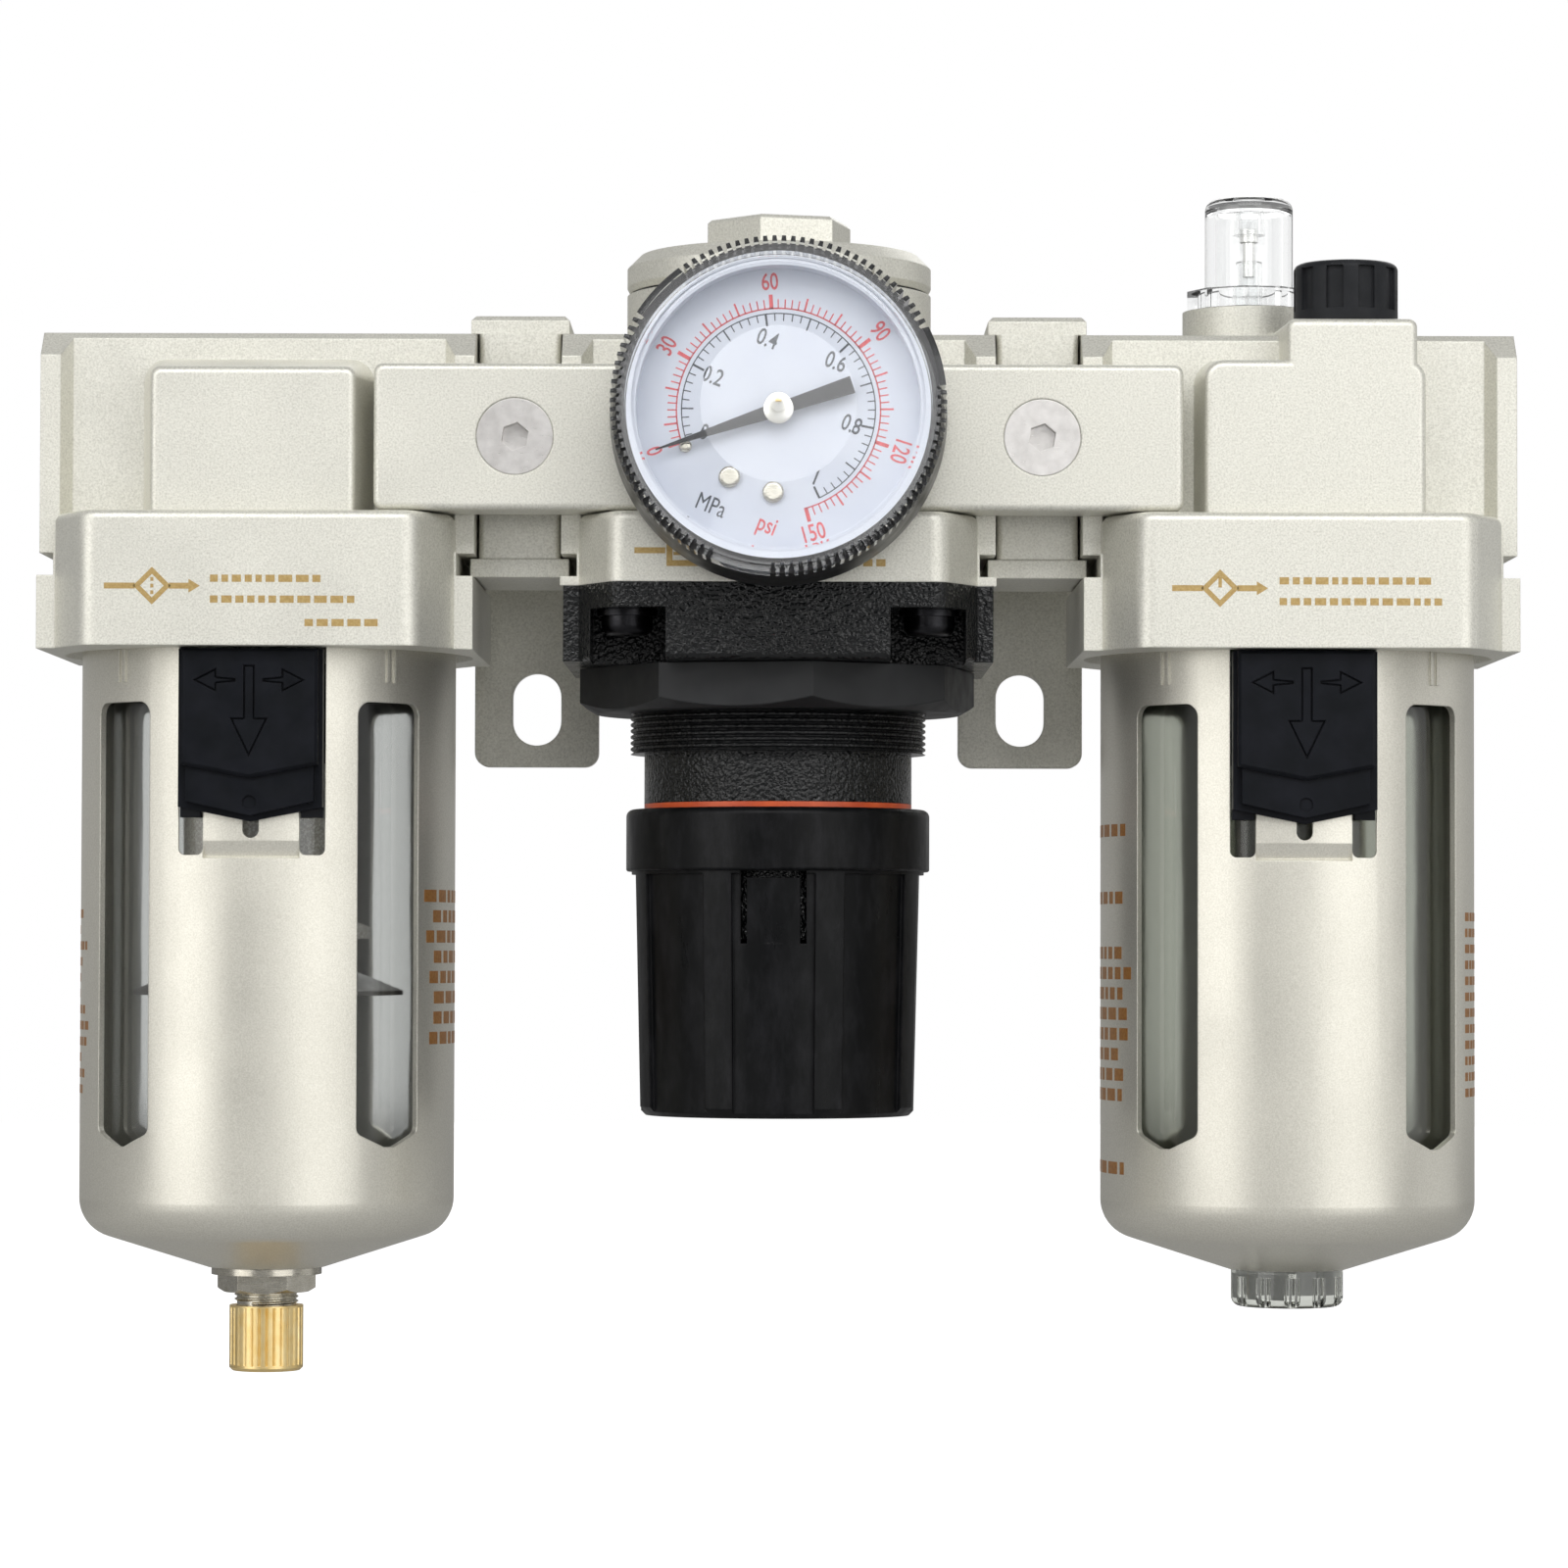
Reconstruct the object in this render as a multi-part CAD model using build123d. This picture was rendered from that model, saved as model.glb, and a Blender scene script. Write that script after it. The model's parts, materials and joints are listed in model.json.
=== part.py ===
from build123d import *
import math
import os

# Filter, regulator and lubricator joined in one row, 1/2 inch ports. Millimetres.
# Each piece is modelled about its own module's vertical axis, with the port centre line at
# z = 0 and the front towards -Y. save() moves it into the shared frame: origin midway
# between the two wall slots, on the wall.

# --- layout -------------------------------------------------------------------------------
MODULE_PITCH = 84.0          # from one module axis to the next, and between the wall slots
FILTER_X = -MODULE_PITCH
REGULATOR_X = 0.0
LUBRICATOR_X = MODULE_PITCH
SPACER_X = (-MODULE_PITCH / 2, MODULE_PITCH / 2)
PORT_TO_WALL = 50.0
PORT_TO_SLOT = 40.0
MODULE_HALF_WIDTH = 35.0

# --- die-cast modules ---------------------------------------------------------------------
PORT_R = 9.3                 # thread crest of a taper pipe port
PORT_THREAD = 14.0
PASSAGE_R = 8.6
BODY_TOP = 18.0
BODY_HALF_DEPTH = 20.0
BODY_HALF_WIDTH = 31.0
FLANGE_HALF_DEPTH = 23.0
FLANGE_ROOT_X = 30.07        # where the 30 degree wedge meets the block
FLANGE_TIP_X = 31.8
BEVEL_REACH = 37.0           # |y| + z along the 45 degree top bevel
COLLAR_HALF_X = 32.0
COLLAR_HALF_Y = 37.0
COLLAR_TOP = -12.0
BOWL_COLLAR_BOTTOM = -33.6
REGULATOR_COLLAR_BOTTOM = -23.3
SOCKET_R = 31.4
SOCKET_SHOULDER = -20.3
SEAL_BORE_R = 30.3
SOCKET_ROOF = -14.0
FRONT_BLOCK_HALF = 18.8
FRONT_BLOCK_FACE = 31.0
FRONT_BLOCK_TOP = 13.8

# --- bowls, guards and lock buttons -------------------------------------------------------
GUARD_R = 30.7
GUARD_WALL = 1.1
GUARD_BOTTOM = -133.9
GUARD_CORNER = -127.2
WINDOW_ANGLES = (45, 135, 225, 315)
WINDOW_WIDTH = 12.8
WINDOW_TOP = -42.0
WINDOW_BOTTOM = -111.2
BOWL_R = 27.6
BOWL_WALL = 2.0
BOWL_FLANGE_R = 30.0
BOWL_BOSS_R = 9.2
BUTTON_FACE = 34.5
BUTTON_TOP = -33.9

# --- regulator ----------------------------------------------------------------------------
REGULATOR_BOSS_R = 25.1
DIAPHRAGM_R = 30.0
BONNET_BOTTOM = -35.5
PANEL_THREAD_R = 24.35
PANEL_THREAD_BOTTOM = -49.5
NECK_R = 22.05
NECK_BOTTOM = -57.7
SLEEVE_R = 20.5
SLEEVE_BOTTOM = -80.0
KNOB_TOP = -58.6
KNOB_BOTTOM = -108.8
BONNET_SCREW_X = 24.2
BONNET_SCREW_Y = 27.0
THREAD_PITCH = 1.0
NUT_CORNER_R = 33.0
NUT_TURN = 9.6
KNOB_TURN = -1.6             # degrees the knob is left turned
CAP_TURN = 15.5              # degrees of the valve cap's hexagon

# --- gauge --------------------------------------------------------------------------------
GAUGE_Z = 2.2
GAUGE_R = 25.9
GAUGE_CASE_R = 26.6
GAUGE_CASE_BACK = 38.5
GAUGE_RIBS = 111
RIB_HEIGHT = 1.5
RIM_R = 23.6                 # spigot of the case inside the cover
PAD_ANGLES = (9, 20)         # smooth pads on the cover, repeated every 120 degrees
DIAL_DEPTH = 53.0
DIAL_R = 22.8
POINTER_DEPTH = 55.2
POINTER_ANGLE = 198.5        # at zero pressure, anticlockwise from +X seen from the front

# --- lubricator ---------------------------------------------------------------------------
DOME_X, DOME_Y = -5.7, 6.0
DOME_TOP = 43.4
FILLER_X, FILLER_Y = 7.7, -20.0
FILLER_SEAT = 19.5
FILLER_TOP = 29.4

# --- joining pieces -----------------------------------------------------------------------
CLAMP_HALF_WIDTH = 22.5
CLAMP_HALF_HEIGHT = 11.7
CLAMP_FACE = 33.5
SCREW_R = 3.0
SLOT_WIDTH = 8.5
SLOT_HEIGHT = 12.6
BRACKET_HALF_WIDTH = 10.75
BRACKET_THICKNESS = 4.0


# --- helpers ------------------------------------------------------------------------------
def cyl(radius, z0, z1, x=0.0, y=0.0):
    """Upright cylinder from height z0 to z1."""
    return Pos(x, y, (z0 + z1) / 2) * Cylinder(radius, z1 - z0)


def cyl_y(radius, y0, y1, x=0.0, z=0.0):
    """Cylinder along Y."""
    return Pos(x, (y0 + y1) / 2, z) * Rot(90, 0, 0) * Cylinder(radius, y1 - y0)


def cyl_x(radius, x0, x1, y=0.0, z=0.0):
    """Cylinder along X."""
    return Pos((x0 + x1) / 2, y, z) * Rot(0, 90, 0) * Cylinder(radius, x1 - x0)


def box(x0, x1, y0, y1, z0, z1):
    """Box between two corners."""
    return Pos((x0 + x1) / 2, (y0 + y1) / 2, (z0 + z1) / 2) * Box(x1 - x0, y1 - y0, z1 - z0)


def tube(outer, inner, z0, z1, x=0.0, y=0.0):
    """Upright ring between two radii."""
    return cyl(outer, z0, z1, x, y) - cyl(inner, z0 - 1, z1 + 1, x, y)


def prism(points, z0, z1):
    """Upright prism on an outline of (x, y) points."""
    return extrude(Pos(0, 0, z0) * Polygon(*points), z1 - z0, dir=(0, 0, 1))


def prism_x(points, x0, x1):
    """Prism along X on an outline of (y, z) points."""
    return extrude(Plane.YZ.offset(x0) * Polygon(*points), x1 - x0, dir=(1, 0, 0))


def plate_y(points, y0, y1):
    """Plate between depths y0 and y1 on an outline of (x, z) points."""
    return extrude(Plane.XZ.offset(-y0) * Polygon(*points), y1 - y0, dir=(0, 1, 0))


def turned(points, rounds=()):
    """Solid of revolution about Z on (r, z) points; rounds are (point index, radius)."""
    outline = Polygon(*points)
    for index, radius in rounds:
        corner = min(outline.vertices(), key=lambda v: math.dist((v.X, v.Y), points[index]))
        outline = fillet(corner, radius)
    return revolve(Plane.XZ * outline, Axis.Z)


def turned_front(points, rounds=()):
    """Solid of revolution about the gauge axis on (r, distance in front of the port line)."""
    return Pos(0, 0, GAUGE_Z) * Rot(90, 0, 0) * turned(points, rounds)


def ring(major, minor, z, x=0.0, y=0.0):
    """O-ring lying flat at height z."""
    return Pos(x, y, z) * Torus(major, minor)


def hexagon(across_flats, z0, z1, turn=0.0):
    """Upright hexagonal bar; turn 0 puts a corner on +X."""
    radius = across_flats / math.sqrt(3)
    corners = [polar(radius, turn + 60 * i) for i in range(6)]
    return prism(corners, z0, z1)


def polar(radius, degrees):
    """Point on a circle, anticlockwise from +X."""
    return radius * math.cos(math.radians(degrees)), radius * math.sin(math.radians(degrees))


def both_sides(shape):
    """The shape and its mirror image left to right."""
    return shape + mirror(shape, Plane.YZ)


def coil(mean_radius, wire_radius, turns, z0, z1):
    """Helical compression spring whose wire touches z0 and z1."""
    height = (z1 - z0) - 2 * wire_radius
    path = Pos(0, 0, z0 + wire_radius) * Helix(height / turns, height, mean_radius)
    section = Plane(path @ 0, z_dir=path % 0) * Circle(wire_radius)
    return sweep(section, path)


def save(name, shape, module_x=0.0):
    """Write one sub-part in the shared frame; a list is a group of separate solids."""
    solids = shape if isinstance(shape, list) else [shape]
    placed = [Pos(module_x, -PORT_TO_WALL, PORT_TO_SLOT) * solid for solid in solids]
    export_step(placed[0] if len(placed) == 1 else Compound(children=placed),
                f"parts/{name}.step")


# --- die-cast modules ---------------------------------------------------------------------
def collar_plan(half_x=COLLAR_HALF_X, half_y=COLLAR_HALF_Y):
    """Eight-sided outline shared by the bowl collars and the bonnet flange."""
    cut_x, cut_y = half_x - 5.8, half_y - 10.0
    return [(cut_x, -half_y), (half_x, -cut_y), (half_x, cut_y), (cut_x, half_y),
            (-cut_x, half_y), (-half_x, cut_y), (-half_x, -cut_y), (-cut_x, -half_y)]


def collar(bottom):
    """Skirt round the module's lower end, with rounded corners and top edge."""
    solid = prism(collar_plan(), bottom, COLLAR_TOP)
    solid = fillet(solid.edges().filter_by(Axis.Z), 3.5)
    return fillet(solid.faces().sort_by(Axis.Z)[-1].edges(), 1.4)


def module_shell(collar_bottom):
    """Block with wedge flanges at both ends, side lugs and collar, before any boring."""
    flange = prism([(FLANGE_TIP_X, -FLANGE_HALF_DEPTH), (MODULE_HALF_WIDTH, -FLANGE_HALF_DEPTH),
                    (MODULE_HALF_WIDTH, FLANGE_HALF_DEPTH), (FLANGE_TIP_X, FLANGE_HALF_DEPTH),
                    (FLANGE_ROOT_X, BODY_HALF_DEPTH), (FLANGE_ROOT_X, -BODY_HALF_DEPTH)],
                   -BODY_TOP, BODY_TOP)
    block = box(-BODY_HALF_WIDTH, BODY_HALF_WIDTH, -BODY_HALF_DEPTH, BODY_HALF_DEPTH,
                COLLAR_TOP - 1, BODY_TOP)
    bevel_y = BEVEL_REACH - BODY_TOP
    deep = FLANGE_HALF_DEPTH + 5
    side_view = prism_x([(-deep, -40), (deep, -40), (deep, BEVEL_REACH - deep),
                         (bevel_y, BODY_TOP), (-bevel_y, BODY_TOP), (-deep, BEVEL_REACH - deep)],
                        -MODULE_HALF_WIDTH - 1, MODULE_HALF_WIDTH + 1)
    lug = box(FLANGE_ROOT_X, MODULE_HALF_WIDTH, -26.5, 26.5, collar_bottom, -BODY_TOP)
    notch = box(32.3, 36.0, -27.0, 27.0, -21.8, -BODY_TOP)
    shell = (block + both_sides(flange)) & side_view
    return shell + both_sides(lug - notch) + collar(collar_bottom)


def front_block(x0, x1, top, back=BODY_HALF_DEPTH - 1, taper=12.0, corner=4.0):
    """Drafted block cast on the front of a module, with rounded corners and front edge."""
    bottom = COLLAR_TOP - 4
    outline = Pos((x0 + x1) / 2, (top + bottom) / 2) * RectangleRounded(x1 - x0, top - bottom, corner)
    block = extrude(Plane.XZ.offset(back) * outline, FRONT_BLOCK_FACE - back, taper=taper)
    return fillet(block.faces().sort_by(Axis.Y)[0].edges(), 1.2)


def bowl_socket():
    """Space that a bowl and its guard push up into, flared at the mouth."""
    return turned([(0, BOWL_COLLAR_BOTTOM - 1), (33.8, BOWL_COLLAR_BOTTOM - 1),
                   (33.5, BOWL_COLLAR_BOTTOM), (SOCKET_R, -30.0), (SOCKET_R, SOCKET_SHOULDER),
                   (SEAL_BORE_R, SOCKET_SHOULDER), (SEAL_BORE_R, SOCKET_ROOF), (0, SOCKET_ROOF)])


def port(side, passage_end):
    """Threaded port at one end of a module, with a plain passage on to passage_end."""
    thread_end = MODULE_HALF_WIDTH - PORT_THREAD
    x0, x1 = sorted((thread_end * side, passage_end))
    mouth = cyl_x(PORT_R, thread_end, MODULE_HALF_WIDTH + 1)
    return (mouth if side > 0 else mirror(mouth, Plane.YZ)) + cyl_x(PASSAGE_R, x0, x1)


def filter_body():
    """Air enters at the left and drops outside the element, then leaves up its middle."""
    body = module_shell(BOWL_COLLAR_BOTTOM)
    body += front_block(-FRONT_BLOCK_HALF, FRONT_BLOCK_HALF, FRONT_BLOCK_TOP)
    body -= bowl_socket()
    body += cyl(12, -16, SOCKET_ROOF + 1)
    body -= port(-1, -10) + port(1, -6)
    body -= cyl(7, -18, 2) + cyl(5.5, SOCKET_ROOF - 1, 0, x=-15)
    return body - cyl(SCREW_R, 5, 15)


def regulator_body():
    """Valve chambers on the module axis, gauge port in front and a plugged port behind."""
    body = module_shell(REGULATOR_COLLAR_BOTTOM)
    body += front_block(-FRONT_BLOCK_HALF, FRONT_BLOCK_HALF, FRONT_BLOCK_TOP)
    body += cyl(REGULATOR_BOSS_R, COLLAR_TOP, 26.2) + cyl_y(10, 18, 24, z=GAUGE_Z)
    body -= cyl(12, 1, 27) + cyl(22.1, 19, 27)
    body -= cyl(8, -10, -1) + cyl(6, -2, 2)
    body -= port(-1, -11) + port(1, 15) + box(5, 16, -6, 6, -8.5, -2)
    body -= cyl(26, REGULATOR_COLLAR_BOTTOM - 1, -17) + cyl(2.1, -18, -9) + cyl(1.5, -18, -9, x=5)
    body -= cyl_y(6.6, -32, -18, z=GAUGE_Z) + cyl_y(1.2, -19, -7, z=-3)
    body -= cyl_y(6.6, 15, 25, z=GAUGE_Z)
    for x in (-BONNET_SCREW_X, BONNET_SCREW_X):
        for y in (-BONNET_SCREW_Y, BONNET_SCREW_Y):
            body -= cyl(2.45, REGULATOR_COLLAR_BOTTOM - 1, -14.5, x, y)
    return body


def lubricator_body():
    """Straight-through bore with a sight dome boss behind and a filler tower in front."""
    body = module_shell(BOWL_COLLAR_BOTTOM)
    body += front_block(-16.9, 20.4, FRONT_BLOCK_TOP, taper=5)
    body += front_block(-3.8, 19.2, 20.6, back=-2.0, taper=2, corner=2.5)
    body += cyl(11.05, 10, 24.6, DOME_X, DOME_Y)
    body -= cyl(12, FILLER_SEAT, 30, FILLER_X, FILLER_Y) & cyl(9.0, 0, 40, FILLER_X, FILLER_Y)
    body -= bowl_socket() + port(-1, 0) + port(1, 0)
    body -= cyl(9.2, 20, 25, DOME_X, DOME_Y) + cyl(2.6, SOCKET_ROOF - 1, -8.8, DOME_X, DOME_Y)
    body -= cyl(1.2, 8, 21, DOME_X, DOME_Y)
    return body - cyl(5.6, SOCKET_ROOF - 1, 22, FILLER_X, FILLER_Y)


# --- spacers, clamps and wall brackets ----------------------------------------------------
def spacer(x):
    """Piece between two modules, gripped by their wedge flanges, with a groove for each seal."""
    neck = box(-6.6, 6.6, -17, 17, -18.3, 18.3)
    neck = fillet(neck.edges().filter_by(Axis.Z), 1.0)
    head = box(-8, 8, -16, 16, 18.3, 21.3)
    head = chamfer(head.faces().sort_by(Axis.Z)[-1].edges(), 0.8)
    body = neck + head + box(-8, 8, -16, 16, -21.3, -18.3)
    body -= cyl_x(PORT_R, -9, 9)
    for side in (-1, 1):
        groove = cyl_x(14.9, 4.3, 7) - cyl_x(12.1, 4, 8)
        body -= groove if side > 0 else mirror(groove, Plane.YZ)
        body -= cyl_y(SCREW_R + 0.05, min(8.5 * side, 18 * side), max(8.5 * side, 18 * side))
    return Pos(x, 0, 0) * body


def spacer_seals():
    """O-rings that close the joints between modules."""
    return [Pos(x + 5.7 * side, 0, 0) * Rot(0, 90, 0) * Torus(13.5, 1.3)
            for x in SPACER_X for side in (-1, 1)]


def clamp_block(face, back):
    """Clamp bar in front of the port line whose back grips the two wedge flanges."""
    block = box(-CLAMP_HALF_WIDTH, CLAMP_HALF_WIDTH, -face, -back,
                -CLAMP_HALF_HEIGHT, CLAMP_HALF_HEIGHT)
    block = fillet(block.edges().filter_by(Axis.Y), 1.5)
    block = fillet(block.faces().sort_by(Axis.Y)[0].edges(), 1.0)
    recess = prism([(-12.2, -back + 0.1), (12.2, -back + 0.1), (12.2, -back), (10.53, -23.3),
                    (-10.53, -23.3), (-12.2, -back)], -20, 20)
    return block - recess


def clamp_plate(x):
    """Front clamp bar with a countersunk hole."""
    sink = Pos(0, -CLAMP_FACE + 1.6, 0) * Rot(90, 0, 0) * Cone(SCREW_R + 0.1, SCREW_R + 3.3, 3.2)
    return Pos(x, 0, 0) * (clamp_block(CLAMP_FACE, 20.4) - cyl_y(SCREW_R + 0.1, -40, -10) - sink)


def clamp_screw(x):
    """Countersunk screw with a hexagon socket, driven into the spacer."""
    head = Pos(0, -CLAMP_FACE + 1.7, 0) * Rot(90, 0, 0) * Cone(SCREW_R, SCREW_R + 3.1, 3.1)
    socket = Pos(0, -CLAMP_FACE + 0.1, 0) * Rot(90, 0, 0) * hexagon(4.0, -2.3, 1, turn=20)
    return Pos(x, 0, 0) * (head + cyl_y(SCREW_R, -CLAMP_FACE + 3, -10.5) - socket)


def wall_bracket(x):
    """Rear clamp bar on an arm with a slotted tab that lies on the wall."""
    clamp = Rot(0, 0, 180) * clamp_block(31.0, 20.4)
    arm = box(-BRACKET_HALF_WIDTH, BRACKET_HALF_WIDTH, 30, PORT_TO_WALL, -8, 8)
    tab = box(-BRACKET_HALF_WIDTH, BRACKET_HALF_WIDTH, PORT_TO_WALL - BRACKET_THICKNESS,
              PORT_TO_WALL, -50, CLAMP_HALF_HEIGHT)
    tab = fillet(tab.edges().filter_by(Axis.Y), 2.5)
    slot = Plane.XZ.offset(-PORT_TO_WALL - 1) * Pos(0, -PORT_TO_SLOT) \
        * SlotOverall(SLOT_HEIGHT, SLOT_WIDTH, rotation=90)
    bracket = clamp + arm + tab - extrude(slot, 12, dir=(0, -1, 0))
    return Pos(x, 0, 0) * (bracket - cyl_y(6.2, 27, 51) - cyl_y(SCREW_R + 0.1, 20, 28))


def bracket_screw(x):
    """Cap screw with a hexagon socket that holds a wall bracket to its spacer."""
    head = cyl_y(5.0, 27.0, 33.0)
    head = chamfer(head.faces().sort_by(Axis.Y)[-1].edges(), 0.5)
    socket = Pos(0, 33, 0) * Rot(90, 0, 0) * hexagon(5.0, -1, 3)
    return Pos(x, 0, 0) * (head + cyl_y(SCREW_R, 10.5, 27.5) - socket)


# --- bowl guards and lock buttons ---------------------------------------------------------
def guard_window(angle):
    """Tall window through the guard wall, pointed at the bottom."""
    half = WINDOW_WIDTH / 2
    outline = Polygon((-half, WINDOW_TOP), (half, WINDOW_TOP), (half, WINDOW_BOTTOM),
                      (1.0, WINDOW_BOTTOM - 2.3), (-1.0, WINDOW_BOTTOM - 2.3),
                      (-half, WINDOW_BOTTOM))
    outline = fillet(outline.vertices().sort_by(Axis.Y)[-2:], 2.2)
    outline = fillet(outline.vertices().group_by(Axis.Y)[1], 1.5)
    return Rot(0, 0, angle) * extrude(Plane.XZ.offset(40) * outline, 20, dir=(0, 1, 0))


def lock_slot():
    """Slot for the lock button: open middle, two legs beside a tongue, and a small notch."""
    middle = box(-11.7, 11.7, -40, -20, -59, -30)
    legs = both_sides(box(7.7, 11.7, -40, -20, -66.7, -58))
    legs = fillet(legs.edges().filter_by(Axis.Y).group_by(Axis.Z)[0], 1.0)
    notch = box(-1.3, 1.3, -40, -20, -62.7, -58) + cyl_y(1.3, -40, -20, z=-62.7)
    return middle + legs + notch


def guard():
    """Metal sleeve round the clear bowl."""
    inner = GUARD_R - GUARD_WALL
    shell = turned([(inner, SOCKET_SHOULDER), (GUARD_R, SOCKET_SHOULDER),
                    (GUARD_R, GUARD_CORNER), (9.7, GUARD_BOTTOM), (9.7, GUARD_BOTTOM + GUARD_WALL),
                    (inner, GUARD_CORNER + 0.8)], rounds=[(2, 6.5), (5, 5.4)])
    for angle in WINDOW_ANGLES:
        for offset in (-1.4, 1.4):
            rib = box(-0.35, 0.35, -GUARD_R - 0.3, -GUARD_R + 0.8, -38.8, BOWL_COLLAR_BOTTOM + 0.6)
            shell += Rot(0, 0, angle + offset) * rib
    for angle in WINDOW_ANGLES:
        shell -= guard_window(angle)
    dip = turned([(GUARD_R + 0.01, -64.4), (GUARD_R - 0.75, -67.0), (GUARD_R + 0.01, -67.2),
                  (GUARD_R + 1, -67.2), (GUARD_R + 1, -64.4)])
    shell -= lock_slot() + (dip & box(-7.7, 7.7, -40, -20, -68, -64))
    return shell + box(-2.2, 2.2, -30.2, -29.0, -59.2, -57.3)


def arrow_left(tip_x, tail_x, z):
    """Arrow outline pointing to -X."""
    return [(tip_x, z), (tip_x + 3.7, z + 1.9), (tip_x + 3.7, z + 0.55), (tail_x, z + 0.25),
            (tail_x, z - 0.25), (tip_x + 3.7, z - 0.55), (tip_x + 3.7, z - 1.9)]


def engraving(outline):
    """Shallow sunk shape on the button's face with a deeper line round its edge."""
    shape = Polygon(*outline, align=None)
    rim = shape - offset(shape, -0.28)
    depth = BUTTON_FACE - 0.2
    sunk = extrude(Plane.XZ.offset(depth) * shape, 2, dir=(0, -1, 0))
    return sunk + extrude(Plane.XZ.offset(BUTTON_FACE - 0.7) * rim, 2, dir=(0, -1, 0))


def lock_button():
    """Slide that locks the guard: stepped V-shaped face with engraved direction arrows."""
    lower = [(-11.5, BUTTON_TOP), (11.5, BUTTON_TOP), (11.5, -59.1), (0, -61.4), (-11.5, -59.1)]
    step = [(-10.2, BUTTON_TOP), (10.2, BUTTON_TOP), (10.2, -58.2), (0, -60.5), (-10.2, -58.2)]
    upper = [(-10.9, BUTTON_TOP), (10.9, BUTTON_TOP), (10.9, -52.4), (0, -54.5), (-10.9, -52.4)]
    button = plate_y(lower, -31.6, -27) + plate_y(step, -33.2, -31.5) + plate_y(upper, -34.5, -31.5)
    front = button.faces().sort_by(Axis.Y)[0]
    button = chamfer(front.edges(), 0.5)
    left = arrow_left(-8.9, -2.1, -39.0)
    down = [(-0.9, -36.6), (0.9, -36.6), (0.9, -45.0), (3.0, -45.0), (0, -51.2), (-3.0, -45.0),
            (-0.9, -45.0)]
    button -= both_sides(engraving(left)) + engraving(down)
    button -= cyl_y(1.1, -36, -32.8, z=-58.4)
    button -= cyl(GUARD_R + 0.25, -70, -30)
    insert = box(-11.4, 11.4, -32, -26, -53.8, BUTTON_TOP) \
        + both_sides(box(8.0, 11.4, -32, -26, -60.7, -53.8))
    lips = box(-12.8, 12.8, -32, -22, -52, -36) & tube(29.3, 28.5, -52, -36)
    insert = insert & tube(GUARD_R + 0.6, 28.5, -62, -33)
    return button + insert + lips - box(-2.6, 2.6, -30.95, -27, -62, -50)


def lock_spring():
    """Small return spring between the button and the tab on the guard."""
    return Pos(0, -29.5, 0) * coil(1.05, 0.25, 6, -57.25, -50.05)


# --- clear bowls --------------------------------------------------------------------------
def bowl_outline(bottom, floor):
    """Half section of a clear bowl down to its boss."""
    return [(BOWL_R - BOWL_WALL, -16.5), (BOWL_FLANGE_R, -16.5), (BOWL_FLANGE_R, -20.2),
            (BOWL_R, -20.2), (BOWL_R, -123), (BOWL_BOSS_R, -130), (BOWL_BOSS_R, bottom)] + floor \
        + [(8.2, -127.2), (BOWL_R - BOWL_WALL, -121.2)]


def filter_bowl():
    """Clear bowl with a hole in the bottom for the drain."""
    outline = bowl_outline(GUARD_BOTTOM, [(5.2, GUARD_BOTTOM), (5.2, -127.2)])
    return turned(outline, rounds=[(4, 5.0), (-1, 3.0)])


def lubricator_bowl():
    """Clear oil bowl with a closed, fluted boss."""
    outline = bowl_outline(-140.0, [(0, -140.0), (0, -127.2)])
    bowl = turned(outline, rounds=[(4, 5.0), (6, 1.5), (-1, 3.0)])
    for i in range(12):
        bowl -= Rot(0, 0, 30 * i) * cyl(1.5, -142, -135.0, x=BOWL_BOSS_R + 0.6)
    return bowl


def bowl_seal():
    """O-ring on top of a bowl's flange."""
    return ring(28.5, 1.2, -15.25)


# --- drain --------------------------------------------------------------------------------
def drain_guide():
    """Threaded tube through the bowl floor, with a flange inside the bowl."""
    return turned([(2.6, -124.8), (7.5, -124.8), (7.5, -126.2), (5.15, -126.2), (5.15, -138.2),
                   (4.83, -138.6), (4.83, -145), (2.6, -145)])


def drain_nut():
    """Thin hexagon nut that pulls the guide down."""
    nut = hexagon(14.0, -138.0, -135.15)
    nut = nut & turned([(0, -136), (7.2, -134), (8.2, -134), (8.2, -137.3), (7.0, -138.0),
                        (0, -138.0)])
    return nut - cyl(5.2, -140, -130)


def drain_knob():
    """Knurled knob that turns on the guide and lifts the drain pin."""
    knob = tube(6.05, 5.0, -150.9, -140.2) + cyl(5.5, -150.9, -146.0)
    knob = chamfer(knob.edges().filter_by(GeomType.CIRCLE).group_by(Axis.Z)[0], 0.5)
    knob -= cyl(2.0, -152, -145)
    for i in range(30):
        knob -= Rot(0, 0, 12 * i) * Pos(6.15, 0, -145.2) * Rot(0, 0, 45) * Box(0.55, 0.55, 9.4)
    return knob


def drain_pin():
    """Pin whose head closes the guide's bore."""
    return cyl(2.2, -144.6, -124.7) + cyl(3.6, -124.7, -122.8) - cyl(1.0, -150, -130)


# --- filter internals ---------------------------------------------------------------------
def deflector():
    """Ring of slanted vanes that spins the incoming air."""
    part = tube(24.2, 8.0, -18.0, -16.0)
    for i in range(12):
        vane = Pos(21.5, 0, -19.8) * Rot(35, 0, 0) * Box(5.0, 1.2, 4.4)
        part += Rot(0, 0, 30 * i) * vane
    return part


def filter_element():
    """Porous cylinder between the deflector and the baffle, with moulded end rims."""
    return turned([(9, -18.0), (14.6, -18.0), (14.6, -20.5), (14, -21), (14, -77), (16.9, -78.2),
                   (16.9, -80), (9, -80)])


def element_baffle():
    """Umbrella under the element that keeps the water below it still."""
    return turned([(3.05, -80), (12.0, -80), (12.0, -84.0), (14.5, -85.4), (22.2, -88.5),
                   (22.2, -89.2), (14.0, -89.5), (3.05, -89.5)])


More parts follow.
